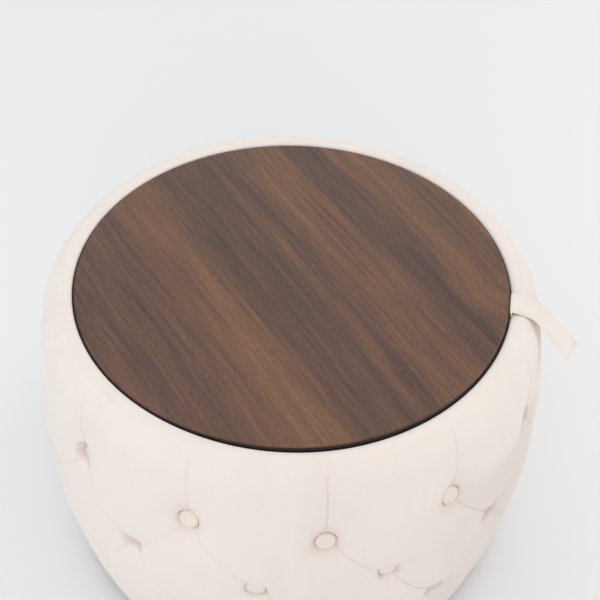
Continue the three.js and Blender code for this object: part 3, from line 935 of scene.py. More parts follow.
    def pocket_depth(self, across: Array, above: Array, rise: Rise, pull: Array) -> Array:
        """How deep the dent round one button is.

        Under the button it is flat, or leans up; a wall climbs round it to the shoulder, and from
        there the depth decays as shoulder * exp(-(distance / spread)^1.4). A button that is
        pulled in further than flush has a lower shoulder. Straight above the button the shoulder
        and the spread are the row's own, and on the way there they change with the cosine's cube.
        """
        away = np.hypot(across, above)
        upward = (np.clip(above, 0.0, None) / np.maximum(away, 1e-9)) ** 3
        level = self.shoulder - 0.6 * (pull - self.flush)
        shoulder = level + (rise.shoulder - level) * upward
        spread = self.spread + (rise.spread - self.spread) * upward
        wall = smoothstep(away, self.seat, self.seat + self.wall)
        beyond = np.clip(away - self.seat - self.wall, 0.0, None)
        skirt = shoulder * np.exp(-((beyond / spread) ** 1.4))
        floor = np.minimum(pull + rise.lean * above, self.deepest)
        return floor * (1.0 - wall) + skirt * wall

    def pleat_line(self, angle: Array, height: Array, row: int) -> tuple[Array, ...]:
        """Where the cloth is against the zigzag pleat between one row of buttons and the next.

        The line falls straight from each button to the next row's, at the slant of the lattice.

        Returns:
            The signed distance off the line, the distance along it to the nearer button, how far
            along it is from the upper to the lower button as a share, and the sign of its slant.
        """
        spacing = self.row_heights[row] - self.row_heights[row + 1]
        half = np.radians(self.pitch / 2) * self.widest
        across = self.seam_distance(angle, self.phase(row))
        share = np.abs(across) / half
        length = np.hypot(half, spacing)
        off = (height - (self.row_heights[row] - spacing * share)) * half / length
        return off, np.minimum(share, 1.0 - share) * length, share, np.sign(across)

    def pleat_shape(self, angle: Array, height: Array, row: int) -> tuple[Array, Array, Array]:
        """The folds of one zigzag pleat.

        Off the line the depth decays exponentially, faster above it than below; along the line
        it decays from the buttons to the middle. How hard a pleat is creased follows the angle a:
        0.5 + 0.4 exp(-((a - 35) / 40)^2) if it falls to the right, and 0.5 - 0.5 exp(-((a - 15) /
        32)^2) if it falls to the left. Both start from 0.5 at the buttons.

        Returns:
            The depth, the distance off the line, and how sharply it is creased, from 0 to 1.
        """
        off, near, share, slant = self.pleat_line(angle, height, row)
        ends = np.exp(-near / self.pleat_run)
        sharp = 0.5 + 0.4 * bell(off_angle(angle, 35.0), 40.0)
        soft = 0.5 - 0.5 * bell(off_angle(angle, 15.0), 32.0)
        hard = np.where(slant > 0, sharp, soft)
        hard = 0.5 + (hard - 0.5) * smoothstep(np.minimum(share, 1.0 - share), 0.0, 0.12)
        full = self.pleat * hard * 1.5 + self.pleat_end * ends
        above, below = np.clip(off, 0.0, None), np.clip(-off, 0.0, None)
        depth = full * np.exp(-above / self.pleat_above - below / self.pleat_below)
        fade = smoothstep(near, self.seat - 2 * MM, self.seat + 4 * MM)
        fade *= 1.0 - (1.0 - hard) * smoothstep(near, 16 * MM, 45 * MM)
        return depth, off, np.clip(hard * fade, 0.0, 1.0)

    def seam_strength(self, angle: Array, height: Array) -> Array:
        """How much the straight seams show, above the top row and below the bottom one.

        They ease out over the crown, and the cloth is drawn tightest at one place round the
        barrel: strength = 0.12 + 0.88 exp(-((a - tightest) / width)^2).
        """
        top, bottom = self.row_heights[0], self.row_heights[-1]
        upper = smoothstep(height, top + 8 * MM, top + 30 * MM)
        upper *= 1.0 - smoothstep(height, self.crown_start + 10 * MM, self.crown_start + 48 * MM)
        lower = 1.0 - smoothstep(height, bottom - 30 * MM, bottom - 8 * MM)
        tight = bell(off_angle(angle, self.tightest), self.tight_width)
        return (upper + lower) * (0.12 + 0.88 * tight)

    def relief(self, angle: Array, height: Array) -> dict[str, Array]:
        """Everything that draws the cloth in.

        The deepest pocket counts. The pleats fill what the pocket leaves: depth = P + C (1 - P /
        pull), where C^4 is the sum of the pleats' fourth powers. Seams add a narrow V and a soft
        valley, and low waves keep the puffs from being all alike.

        Returns:
            Under "depth" and "slide" how far the cloth is drawn in and slides down; a mask of
            painted shade on the pockets' walls; and the distances and strengths of the crease
            lines.
        """
        pocket, filled, slide = (np.zeros_like(height) for _ in range(3))
        for row, middle in enumerate(self.row_heights):
            across = self.seam_distance(angle, self.phase(row))
            above = height - middle - self.of_button(self.drifts, angle, row)
            pull = self.of_button(self.pulls, angle, row)
            dent = self.pocket_depth(across, above, self.rises[row], pull)
            pocket, filled = np.maximum(pocket, dent), np.maximum(filled, dent / pull)
            lift = smoothstep(above, self.seat, self.seat + 5 * MM)
            lift *= np.exp(-np.clip(above - self.seat, 0.0, None) / (14 * MM))
            slide += self.rises[row].droop * lift * bell(across, self.spread)
        left = 1.0 - filled
        # painted shade on the pockets' walls
        made = {"fold": 0.75 * smoothstep(filled, 0.33, 1.0)}
        creases = np.zeros_like(height)
        for row in range(len(self.row_heights) - 1):
            depth, off, crease = self.pleat_shape(angle, height, row)
            creases += depth**4
            made[f"off_{row}"], made[f"crease_{row}"] = off, crease
        depth = pocket + creases**0.25 * left
        seam = self.seam_distance(angle, self.first_seam)
        strength = self.seam_strength(angle, height)
        line = self.groove * bell(seam, self.groove_width)
        line += self.valley * np.exp(-np.abs(seam) / self.valley_width)
        depth += line * strength
        turn = np.radians(angle)
        waves = np.sin(7 * turn + height * 31) + np.sin(13 * turn - height * 47 + 1.0)
        waves += np.sin(23 * turn + height * 22 + 2.3)
        on_side = smoothstep(height, 20 * MM, 60 * MM)
        on_side *= 1.0 - smoothstep(height, 340 * MM, 400 * MM)
        depth += self.uneven * (1.0 + waves / 3.0) * on_side * left
        # painted shade in broad patches below the top buttons
        made["ruffled"] = self.ruffled(angle, height)
        return made | {"depth": depth, "slide": slide, "seam": seam, "seam_line": strength}

    def ruffled(self, angle: Array, height: Array) -> Array:
        """Painted shade that darkens the cloth in broad patches, below the top buttons.

        Each patch is most * exp(-((a - middle) / width)^2), with the numbers of its own row.
        """
        top = self.row_heights[0]
        total = np.zeros_like(height)
        for middle, width, most in self.shade_patches:
            total += most * bell(off_angle(angle, middle), width)
        return total * (1.0 - smoothstep(height, top - 10 * MM, top + 35 * MM))

    @staticmethod
    def lip_lift(angle: Array) -> Array:
        """How much higher the lip sits: 2.7 - 4.2 exp(-((a - 8) / 33)^2) - 1.2 sin a, in mm."""
        dip = 4.2 * bell(off_angle(angle, 8.0), 33.0)
        return (2.7 - dip - 1.2 * np.sin(np.radians(angle))) * MM

    def column_angles(self) -> Array:
        """Column angles in degrees: u - gather * sin(2 pi u) / (2 pi) in each half pitch."""
        half = self.pitch / 2
        u = np.arange(self.columns) * 360.0 / self.columns / half
        return self.first_seam + half * (u - self.gather * np.sin(2 * np.pi * u) / (2 * np.pi))

    def lay(self, rows: Array, heights: Array) -> tuple[Array, dict[str, Array]]:
        """The outer surface: each section row moved in along its normal and down along the cloth.

        The cloth is pulled towards the straight seams, the lip stands a little higher in some
        places than in others, and it gives way to the pull tab.

        Args:
            rows: the section's (radius, height) rows.
            heights: the rows' heights along the cloth.

        Returns:
            Points (columns, rows, 3) and the relief.
        """
        tangent = np.gradient(rows, axis=0)
        tangent /= np.hypot(tangent[:, 0], tangent[:, 1])[:, None]
        out = np.stack([tangent[:, 1], -tangent[:, 0]], axis=-1)
        angle, height = np.broadcast_arrays(self.angles[:, None], heights[None, :])
        made = self.relief(angle, height)
        number, last = np.arange(len(rows)), len(rows)
        ends = smoothstep(number, 3, 9) * (1 - smoothstep(number, last - 14, last - 9))
        on_lip = smoothstep(number, last - 22, last - 10)
        on_lip *= 1 - smoothstep(number, last - 8, last - 3)
        depth = (made["depth"] * ends)[..., None]
        flat = rows[None] - depth * out[None] - (made["slide"] * ends)[..., None] * tangent[None]
        flat[..., 1] += self.lip_lift(angle) * on_lip
        room = 1.0 - smoothstep(np.abs(off_angle(angle, self.tab_angle)), 3.8, 4.8)
        room = self.tab_room * room * smoothstep(number, last - 18, last - 11)
        radius = flat[..., 0]
        radius = np.where(room > 0, np.maximum(radius, self.lip_radius + room), radius)
        pinch = 0.5 * bell(made["seam"], 8 * MM) * made["seam_line"]
        turned = np.radians(angle) - made["seam"] * pinch / self.widest
        return polar(turned, radius, flat[..., 1]), made

    def build(self, finish: Material) -> Piece:
        """Makes the cover: the outside, creased along the pleats, and a plain inside behind it."""
        rows, self.heights = self.outer_section()
        self.angles = self.column_angles()
        self.points, made = self.lay(rows, self.heights)
        inner = self.inner_section()
        shape = (self.columns, len(inner))
        turn, radius, height = np.broadcast_arrays(np.radians(self.angles)[:, None], *inner.T)
        inside = polar(turn, radius, height)
        points = np.concatenate([self.points, inside], axis=1)
        a, b, c, d = grid_faces(self.columns, points.shape[1], True, True).T
        deep = np.concatenate([made["depth"], np.zeros(shape)], axis=1).ravel()
        turned = (deep[a] + deep[c] > deep[b] + deep[d])[:, None]
        first = np.where(turned, np.stack([a, b, c], -1), np.stack([a, b, d], -1))
        second = np.where(turned, np.stack([a, c, d], -1), np.stack([b, c, d], -1))
        cover = piece("velvet_cover", points, np.concatenate([first, second]), finish, merge=False)
        # the painted shade masks of the pockets' walls and of the broad patches
        self._keep(cover, "fold", made["fold"][..., None], shape)
        self._keep(cover, "ruffled", made["ruffled"][..., None], shape)
        # crease and seam lines: each is darkened with painted shade and dented with a bump
        lines = [made["off_0"] / MM, made["off_1"] / MM, made["seam"] / MM]
        self._keep(cover, "line_distance", np.stack(lines, axis=-1), shape)
        marks = [made["crease_0"], made["crease_1"], made["seam_line"] * self.seam_tone]
        self._keep(cover, "line_strength", np.stack(marks, axis=-1), shape)
        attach(cover, "barrel")
        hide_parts("tufted_cover")
        return cover

    @staticmethod
    def _keep(cover: Piece, name: str, values: Array, inside: tuple[int, int]) -> None:
        """Keeps numbers on the outside's points, and zeros on the inside's."""
        zeros = np.zeros((*inside, values.shape[-1]))
        keep(cover, name, np.concatenate([values, zeros], axis=1))

    def at(self, angle: Array, height: Array) -> Array:
        """Points of the finished cloth, by straight interpolation between its grid points."""
        turned = (np.asarray(angle) - self.first_seam) % 360.0 + self.first_seam
        angles = np.append(self.angles, self.angles[0] + 360.0)
        column = np.interp(turned, angles, np.arange(len(angles)))
        row = np.interp(height, self.heights, np.arange(len(self.heights)))
        i = np.floor(column).astype(int)
        j = np.minimum(np.floor(row).astype(int), len(self.heights) - 2)
        s, t = (column - i)[..., None], (row - j)[..., None]
        i, ahead = i % self.columns, (i + 1) % self.columns
        near = self.points[i, j] * (1 - t) + self.points[i, j + 1] * t
        far = self.points[ahead, j] * (1 - t) + self.points[ahead, j + 1] * t
        return near * (1 - s) + far * s

    def facing(self, angle: Array, height: Array) -> tuple[Array, Array]:
        """The direction up the cloth and the outward normal at points of it."""
        step, turn = 2.5 * MM, 0.4
        up = self.at(angle, height + step) - self.at(angle, height - step)
        beside = self.at(angle + turn, height) - self.at(angle - turn, height)
        out = np.cross(beside, up)
        return up, out / np.linalg.norm(out, axis=-1, keepdims=True)


@dataclass
class CoveredButtons:
    """Cloth-covered buttons, one for each CAD button, pressed into the cover's pockets."""

    radius: float = 12.9 * MM
    height: float = 7.2 * MM
    edge_height: float = 2.4 * MM
    edge_roll: float = 1.6 * MM
    sunk: float = 0.4 * MM
    sides: int = 40
    rings: int = 12
    rows: tuple[str, ...] = ("top", "middle", "bottom")
    rim_shade: float = 0.9

    def shape(self) -> tuple[Array, Array]:
        """A dome on Z, radius R sin(u)^0.62 and height H cos(u)^0.8, over a rolled edge."""
        u, rise = np.linspace(0.0, np.pi / 2, self.rings), self.edge_height
        dome_r = self.radius * np.sin(u) ** 0.62
        dome_z = rise + (self.height - rise) * np.cos(u) ** 0.8
        roll = np.linspace(0.0, np.pi / 2, 5)[1:]
        roll_r = self.radius - self.edge_roll * (1.0 - np.cos(roll))
        roll_z = rise - rise * np.sin(roll)
        radius = np.concatenate([dome_r, roll_r, [0.0]])
        height = np.concatenate([dome_z, roll_z, [0.0]])
        turn = np.linspace(0.0, 2 * np.pi, self.sides, endpoint=False)[:, None]
        points = polar(turn, radius[None], np.broadcast_to(height, (self.sides, len(height))))
        return points, grid_faces(self.sides, len(height), True, False)

    def shade_rim(self, button: Piece, place: Array) -> None:
        """Keeps on each point how much painted shade it takes at the rim: smoothstep of its share
        of the radius.
        """
        points = np.empty(len(button.data.vertices) * 3, dtype=np.float32)
        button.data.vertices.foreach_get("co", points)
        flat = (points.reshape(-1, 3) - place[:3, 3]) @ place[:3, :3]
        share = np.hypot(flat[:, 0], flat[:, 1]) / self.radius
        shade = smoothstep(share, 0.85, 0.97) * self.rim_shade
        keep(button, "fold", shade[:, None])

    def build(self, cover: TuftedCover, finish: Material) -> list[Piece]:
        """Seats a button at each CAD button's angle and height, its back on the pocket's floor."""
        points, faces = self.shape()
        made = []
        for row, row_name in enumerate(self.rows):
            for number in range(1, cover.per_row + 1):
                node = f"button_{row_name}_{number:02d}"
                low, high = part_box(node)
                middle = (low + high) / 2
                angle = np.array([np.degrees(np.arctan2(middle.x, -middle.y)) % 360.0])
                height = middle.z + cover.of_button(cover.drifts, angle, row)
                seat = cover.at(angle, height)
                up, out = cover.facing(angle, height)
                place = standing(seat - out * self.sunk, up, out)[0]
                placed = points.reshape(-1, 3) @ place[:3, :3].T + place[:3, 3]
                button = piece(f"covered_{node}", placed, faces, finish)
                self.shade_rim(button, place)
                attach(button, "barrel")
                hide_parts(node)
                made.append(button)
        return made


@dataclass
class SeamStitches:
    """Top stitching: a line of thread beside each of the cover's straight seams."""

    pitch: float = 4.2 * MM
    length: float = 2.9 * MM
    thickness: float = 0.8 * MM
    offset: float = 1.9 * MM
    proud: float = 0.2 * MM
    clear: float = 17 * MM
    lowest: float = 24 * MM
    over_crown: float = 30 * MM
    joining_seam: float = 88.6
    joining_start: float = 60 * MM

    def line(self, cover: TuftedCover, angle: float, low: float, high: float) -> Array:
        """Places of the stitches up one straight line of the cover."""
        height = np.arange(low, high, self.pitch)
        turned = np.full(len(height), angle)
        up, out = cover.facing(turned, height)
        return standing(cover.at(turned, height) + out * self.proud, up, out)

    def build(self, cover: TuftedCover, finish: Material) -> Piece:
        """Sews every seam, above the top row and below the bottom one, and the joining seam."""
        beside = math.degrees(self.offset / cover.widest)
        top, bottom = cover.row_heights[0], cover.row_heights[-1]
        over = cover.crown_start + self.over_crown
        lines = []
        for k in range(cover.per_row):
            seam = cover.first_seam + k * cover.pitch + beside
            lines.append(self.line(cover, seam, top + self.clear, over))
            lines.append(self.line(cover, seam, self.lowest, bottom - self.clear))
        seam = self.joining_seam + beside
        lines.append(self.line(cover, seam, top + self.joining_start, over))
        points, faces = capsule(self.length, self.thickness / 2)
        stitches = repeated("seam_stitches", points, faces, np.concatenate(lines), finish)
        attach(stitches, "barrel")
        return stitches


# ---------------------------------------------------------------------- lid and tab


@dataclass
class LidCushion:
    """The padded velvet underside of the lid, and the foam in it."""

    corner: float = 9 * MM
    cloth: float = 1.2 * MM
    pocket_angle: float = 82.5
    pocket_half_width: float = 18.5 * MM
    pocket_depth: float = 3.4 * MM
    sides: int = 288

    def build(self, velvet: Material, foam: Material) -> list[Piece]:
        """Makes the cup, notched for the pull tab, and the foam that fills it."""
        low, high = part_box("lid_pad_cover")
        radius, bottom, top = high.x, low.z, high.z
        cup = self._cup("lid_cushion_cover", radius, bottom, top, velvet)
        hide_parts("lid_pad_cover")
        low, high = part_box("lid_pad_foam")
        section = [(0.0, low.z), (high.x, low.z), (high.x, high.z), (0.0, high.z)]
        section = rounded(section, self.corner - self.cloth, 4)
        slab = revolved("lid_cushion_foam", section, foam, 96)
        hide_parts("lid_pad_foam")
        for made in (cup, slab):
            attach(made, "lid")
        return [cup, slab]

    def _cup(self, name: str, radius: float, bottom: float, top: float, finish: Material) -> Piece:
        """A cup: a flat bottom, a quarter-round corner and a wall, which dips at the tab."""
        sides = self.sides
        turn = np.linspace(0, 2 * np.pi, sides, endpoint=False)[:, None]
        aside = np.abs((turn + np.pi) % (2 * np.pi) - np.pi) * radius
        turn = turn + np.radians(self.pocket_angle)
        notch = 1.0 - smoothstep(aside, self.pocket_half_width, self.pocket_half_width + 3 * MM)
        arc = np.linspace(0.0, np.pi / 2, 8)[None, :]
        corner = self.corner
        flat_r = np.linspace(0.0, radius - corner, 14)[None, :-1]
        wall_top = top - notch * self.pocket_depth
        wall_share = np.linspace(0.0, 1.0, 6)[None, 1:]

        def skin(inset: float) -> tuple[Array, Array]:
            """Radii and heights of one face of the cloth."""
            bend = corner - inset
            wall_low = bottom + corner
            radii = [
                np.broadcast_to(flat_r, (sides, 13)),
                np.broadcast_to(radius - corner + bend * np.sin(arc), (sides, 8)),
                np.full((sides, 5), radius - inset),
            ]
            heights = [
                np.full((sides, 13), bottom + inset),
                np.broadcast_to(bottom + corner - bend * np.cos(arc), (sides, 8)),
                wall_low + (wall_top - wall_low) * wall_share,
            ]
            return np.concatenate(radii, axis=1), np.concatenate(heights, axis=1)

        outer_r, outer_z = skin(0.0)
        inner_r, inner_z = skin(self.cloth)
        all_r = np.concatenate([outer_r, inner_r[:, ::-1]], axis=1)
        all_z = np.concatenate([outer_z, inner_z[:, ::-1]], axis=1)
        points = polar(turn, all_r, all_z)
        return piece(name, points, grid_faces(sides, all_r.shape[1], True, False), finish)


@dataclass
class PullTab:
    """A doubled velvet strip, clamped under the lid: it arches over the crown and hangs free."""

    angle: float = 82.5
    radius: float = 268.4 * MM
    width: float = 35 * MM
    thickness: float = 2.2 * MM
    swing: float = 20.7
    tail_start: float = 230 * MM
    tail_height: float = 406.4 * MM
    bend: float = 2.5 * MM
    hinge_height: float = 419.3 * MM
    hem: float = 3.5 * MM
    step: float = 1.25 * MM
    stitch_pitch: float = 4.2 * MM
    stitch_start: float = 58 * MM
    stitch_height: float = 0.8
    blend_start: tuple[float, float] = (268.4 * MM, 418.6 * MM)
    blend_end: tuple[float, float] = (276.4 * MM, 422.5 * MM)
    route: Table = (
        (267.2 * MM, 422.2 * MM),
        (270.5 * MM, 423.9 * MM),
        (277 * MM, 422.9 * MM),
        (287 * MM, 421.1 * MM),
        (297.5 * MM, 417.0 * MM),
        (309 * MM, 407 * MM),
        (325 * MM, 391 * MM),
        (351 * MM, 366.8 * MM),
    )

    def middle_line(self) -> Array:
        """(radius, height) points, evenly spaced: along the tail, up the gap and over the crown."""
        arc = np.linspace(-np.pi / 2, 0.0, 7)
        bend = np.stack([np.cos(arc), np.sin(arc)], axis=-1) * self.bend
        bend += [self.radius - self.bend, self.tail_height + self.bend]
        straight = np.linspace([self.tail_start, self.tail_height], bend[0], 12)[:-1]
        gap = np.linspace(bend[-1], [self.radius, self.hinge_height], 5)[1:]
        knots = np.array([(self.radius, self.hinge_height), *self.route])
        loose = self._spline(knots, 90)[1:]
        line = np.concatenate([straight, bend, gap, loose])
        along = lengths(line)
        even = np.arange(0.0, along[-1], self.step)
        return np.stack([np.interp(even, along, line[:, k]) for k in range(2)], axis=-1)

    @staticmethod
    def _spline(knots: Array, count: int) -> Array:
        """A Catmull-Rom curve: through each knot along the line between its neighbours."""
        padded = np.concatenate([[2 * knots[0] - knots[1]], knots, [2 * knots[-1] - knots[-2]]])
        t = np.linspace(0.0, len(knots) - 1 - 1e-9, count)
        i = np.floor(t).astype(int)
        t = (t - i)[:, None]
        a, b, c, d = (padded[i + k] for k in range(4))
        square, cube = 2 * a - 5 * b + 4 * c - d, 3 * b - a - 3 * c + d
        return 0.5 * (2 * b + (c - a) * t + square * t**2 + cube * t**3)

    def place(self, run: Array, aside: Array, height: Array) -> Array:
        """Points from a distance out along the strip's plan line, an offset across it and a height.

        Past the lid's edge the plan line is an arc that turns towards the front by the swing.
        """
        reach = self.route[-1][0] - self.radius
        turn_radius = reach / math.radians(self.swing)
        past = np.clip(run - self.radius, 0.0, None)
        heading = past / turn_radius
        from_centre = turn_radius + aside
        x = from_centre * np.cos(heading) - turn_radius
        y = -(np.minimum(run, self.radius) + from_centre * np.sin(heading))
        turn = math.radians(self.angle)
        c, s = math.cos(turn), math.sin(turn)
        return np.stack([x * c - y * s, x * s + y * c, height + 0.0 * x], axis=-1)

    def build(self, velvet: Material, thread: Material) -> list[Piece]:
        """Makes the strip, softly rounded at its doubled-over edges and end, and its edge
        stitching.

        The section is a superellipse |x/w|^8 + |z/t|^2.5 = 1, a little thinner along the
        stitching; it closes at both ends over the last millimetres.
        """
        line = self.middle_line()
        tangent = np.gradient(line, axis=0)
        tangent /= np.hypot(*tangent.T)[:, None]
        normal = np.stack([-tangent[:, 1], tangent[:, 0]], axis=-1)
        along = lengths(line)
        length = along[-1]
        around = np.linspace(0.0, 2 * np.pi, 56, endpoint=False)
        cos, sin = np.cos(around), np.sin(around)
        x = np.sign(cos) * np.abs(cos) ** (2 / 8) * self.width / 2
        z = np.sign(sin) * np.abs(sin) ** (2 / 2.5) * self.thickness / 2
        stitched = bell(np.abs(x) - self.width / 2 + self.hem, 0.9 * MM)
        ends = np.minimum(along, length - along)
        closing = np.sqrt(np.clip(1 - (1 - np.clip(ends / (1.2 * MM), 0, 1)) ** 2, 0.0, 1.0))
        dent = bell(length - along - self.hem, 0.9 * MM)
        thick = closing[:, None] * (1 - 0.22 * (stitched[None, :] + dent[:, None]))
        ripple = 0.25 * MM * np.sin(along / (9 * MM)) * smoothstep(along, 45 * MM, 70 * MM)
        lift = z[None, :] * thick + ripple[:, None] * np.sin(np.pi * x / self.width)[None, :]
        run = line[:, None, 0] + normal[:, None, 0] * lift
        height = line[:, None, 1] + normal[:, None, 1] * lift
        rings = self.place(run, np.broadcast_to(x[None], run.shape), height)
        strap = piece("pull_tab_strap", *capped_tube(rings), velvet, merge=False)
        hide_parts("tab_tail", "pull_tab")
        stitches = self._stitches(line, normal, along, thread)
        ends = (self.blend_start, self.blend_end)
        start, end = (self.place(np.array(r), np.array(0.0), np.array(z)) for r, z in ends)
        for made in (strap, stitches):
            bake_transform(made)
        return [strap, stitches]

    def _stitches(self, line: Array, normal: Array, along: Array, thread: Material) -> Piece:
        """Stitches down both edges and across the end of the loose part, on its upper face."""
        pitch, out = self.stitch_pitch, self.thickness / 2 * self.stitch_height
        edge, length = self.width / 2 - self.hem, along[-1] - self.hem

        def on_strap(distance: Array, aside: Array, lift: float, ahead: float = 0.0) -> Array:
            """Points at a distance along the strip, raised off its middle along its normal."""
            run, height = (np.interp(distance + ahead, along, column) for column in line.T)
            out_r, out_z = (np.interp(distance, along, column) for column in normal.T)
            return self.place(run + out_r * lift, aside, height + out_z * lift)

        distance = np.arange(self.stitch_start, length, pitch)
        places = []
        for side in (-edge, edge):
            aside = np.full(len(distance), side)
            here, above = (on_strap(distance, aside, lift) for lift in (out, 2 * out))
            next_to = on_strap(distance, aside, out, ahead=0.5 * MM)
            places.append(standing(here, next_to - here, above - here))
        across = np.arange(-edge + pitch / 2, edge, pitch)
        distance = np.full(len(across), length)
        here, above = (on_strap(distance, across, lift) for lift in (out, 2 * out))
        next_to = on_strap(distance, across + 1 * MM, out)
        places.append(standing(here, next_to - here, above - here))
        points, faces = capsule(3.0 * MM, 0.25 * MM)
        return repeated("pull_tab_stitches", points, faces, np.concatenate(places), thread)


# ---------------------------------------------------------------------- inside and base


@dataclass
class Inside:
    """The foam round the carcass and the cloth lining of the storage space."""

    foam_foot: float = 277.0 * MM
    foam_face: Table = (
        (278.1 * MM, 60 * MM),
        (279.2 * MM, 100 * MM),
        (283.6 * MM, 140 * MM),
        (291.6 * MM, 217 * MM),
        (291.1 * MM, 322 * MM),
        (296.2 * MM, 385 * MM),
        (293 * MM, 404 * MM),
        (287 * MM, 414 * MM),
    )
    foam_top: float = 281 * MM
    foam_gap: float = 0.4 * MM
    foam_lift: float = 0.3 * MM
    lining_thickness: float = 1.2 * MM
    lining_bend: float = 1.5 * MM
    ledge_face: float = 243.8 * MM
    ledge_reach: float = 269.5 * MM

    def build(self, foam: Material, felt: Material) -> list[Piece]:
        """Makes both from the boxes of the nodes round them."""
        return [self._foam(foam), self._lining(felt)]

    def _foam(self, finish: Material) -> Piece:
        """The wrap: from the bottom board up the wall, and round the overhanging top ring."""
        low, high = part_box("foam_wrap")
        gap, lift = self.foam_gap, self.foam_lift
        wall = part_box("outer_wall")[1].x + gap
        ring_low, ring_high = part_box("top_ring")
        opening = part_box("ledge_ring")[1].x + gap
        ring = ring_high.x + gap
        section = [
            (wall, low.z),
            (self.foam_foot, low.z),
            *self.foam_face,
            (self.foam_top, high.z - lift),
            (opening + 1.5 * MM, 410.5 * MM),
            (opening, ring_high.z + lift),
            (ring, ring_high.z + lift),
            (ring, ring_low.z - lift),
            (wall, ring_low.z - lift),
        ]
        wrap = revolved("foam_padding", section, finish, 144)
        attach(wrap, "barrel")
        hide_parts("foam_wrap")
        return wrap

    def _lining(self, finish: Material) -> Piece:
        """The cup: floor and wall, and a wrap under, round and over the ledge."""
        low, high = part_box("storage_lining")
        floor, rim = low.z, high.z
        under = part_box("ledge_ring")[0].z - 0.3 * MM
        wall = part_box("inner_wall")[1].x - 3.3 * MM
        face, out = self.ledge_face, self.ledge_reach
        t, soft = self.lining_thickness, self.lining_bend
        up = [floor + (under - floor) * k / 12 for k in range(1, 12)]
        section = [(wall * k / 6, floor) for k in range(0, 7)]
        section += [(wall, z) for z in up]
        section += [(wall, under), (face, under), (face, rim - t), (out, rim - t), (out, rim)]
        section += [(face - t + soft, rim), (face - t, rim - soft)]
        section += [(face - t, under - t + soft), (face - t + soft, under - t)]
        section += [(wall - t, under - t)]
        section += [(wall - t, z) for z in reversed(up)]
        section += [(wall - t, floor + t + 4 * MM), (wall - t - 4 * MM, floor + t)]
        section += [((wall - t) * k / 6, floor + t) for k in range(5, -1, -1)]
        lining = revolved("storage_lining_felt", section, finish, 180)
        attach(lining, "barrel")
        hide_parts("storage_lining")
        return lining


@dataclass
class Base:
    """The dust cloth under the barrel, its staples and the glides."""

    staple_pitch: float = 30 * MM
    staple_radius: float = 262 * MM
    glides: tuple[str, ...] = ("glide_centre", "glide_1", "glide_2", "glide_3", "glide_4")

    def build(self, cloth: Material, wire: Material, plastic: Material) -> list[Piece]:
        """Makes the cloth, the staples and a finely turned copy of each glide."""
        low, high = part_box("dust_cover")
        radius, thickness = high.x, high.z - low.z
        edge = radius - 0.3 * MM
        outline = [(radius * k / 24, low.z) for k in range(24)]
        outline += [(edge, low.z), (radius, low.z + thickness / 2), (edge, high.z)]
        outline += [(radius * k / 24, high.z) for k in range(23, -1, -1)]
        dust = revolved("dust_cloth_sheet", outline, cloth, 180)
        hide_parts("dust_cover")
        staples = self._staples(low.z, wire)
        for made in (dust, staples):
            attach(made, "barrel")
        return [dust, staples, *self._glides(plastic)]

    def _staples(self, height: float, finish: Material) -> Piece:
        """Staple crowns round the cloth's edge, each 10 mm of wire lying along the circle."""
        count = round(2 * math.pi * self.staple_radius / self.staple_pitch)
        turn = np.arange(count) * 2 * np.pi / count
        points = polar(turn, np.full(count, self.staple_radius), np.full(count, height - 0.1 * MM))
        along = np.stack([np.cos(turn), np.sin(turn), 0 * turn], axis=-1)
        down = np.tile([0.0, 0.0, -1.0], (count, 1))
        shape, faces = capsule(10 * MM, 0.45 * MM)
        return repeated("dust_cloth_staples", shape, faces, standing(points, along, down), finish)

    def _glides(self, finish: Material) -> list[Piece]:
        """Nail-on glides: a sole, a waist and a flange, turned with soft edges."""
        made = []
        for node in self.glides:
            low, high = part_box(node)
            middle = (low + high) / 2
            radius, top = (high.x - low.x) / 2, high.z
            section = [
                (0.0, 0.0),
                (0.7 * radius, 0.0),
                (0.79 * radius, 1.2 * MM),
                (0.85 * radius, 4 * MM),
                (0.85 * radius, top - 3.5 * MM),
                (radius, top - 2.5 * MM),
                (radius, top),
                (0.0, top),
            ]
            glide = revolved(f"{node}_turned", rounded(section, 0.8 * MM, 3), finish, 40)
            glide.data.transform(Matrix.Translation((middle.x, middle.y, 0.0)))
            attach(glide, "barrel")
            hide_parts(node)
            made.append(glide)
        return made


@dataclass
class Joinery:
    """The rigid CAD pieces that stay as they are and get their finishes."""

    panels: tuple[str, ...] = (
        "bottom_board",
        "top_ring",
        "ledge_ring",
        "lid_backing_board",
        "upright_1",
        "upright_2",
        "upright_3",
    )
    walls: tuple[str, ...] = ("inner_wall", "outer_wall")

    def build(self) -> list[Piece]:
        """Puts plywood, hardboard, walnut and the edge band's finish on their nodes."""
        finishes = {"lid_panel": Walnut().material(), "lid_edge_band": EdgeBand().material()}
        plywood, hardboard = Plywood().material(), HARDBOARD.material()
        finishes |= {node: plywood for node in self.panels}
        finishes |= {node: hardboard for node in self.walls}
        for node, finish in finishes.items():
            mesh_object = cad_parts[node]
            mesh_object.data.materials.clear()
            mesh_object.data.materials.append(finish)
        return [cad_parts[node] for node in finishes]


# ---------------------------------------------------------------------- studio


@dataclass(frozen=True)
class Softbox:
    """A large square lamp, aimed at the barrel."""

    name: str
    place: Triple
    power: float
    colour: Colour = (1.0, 0.97, 0.94)
    size: float = 2.5


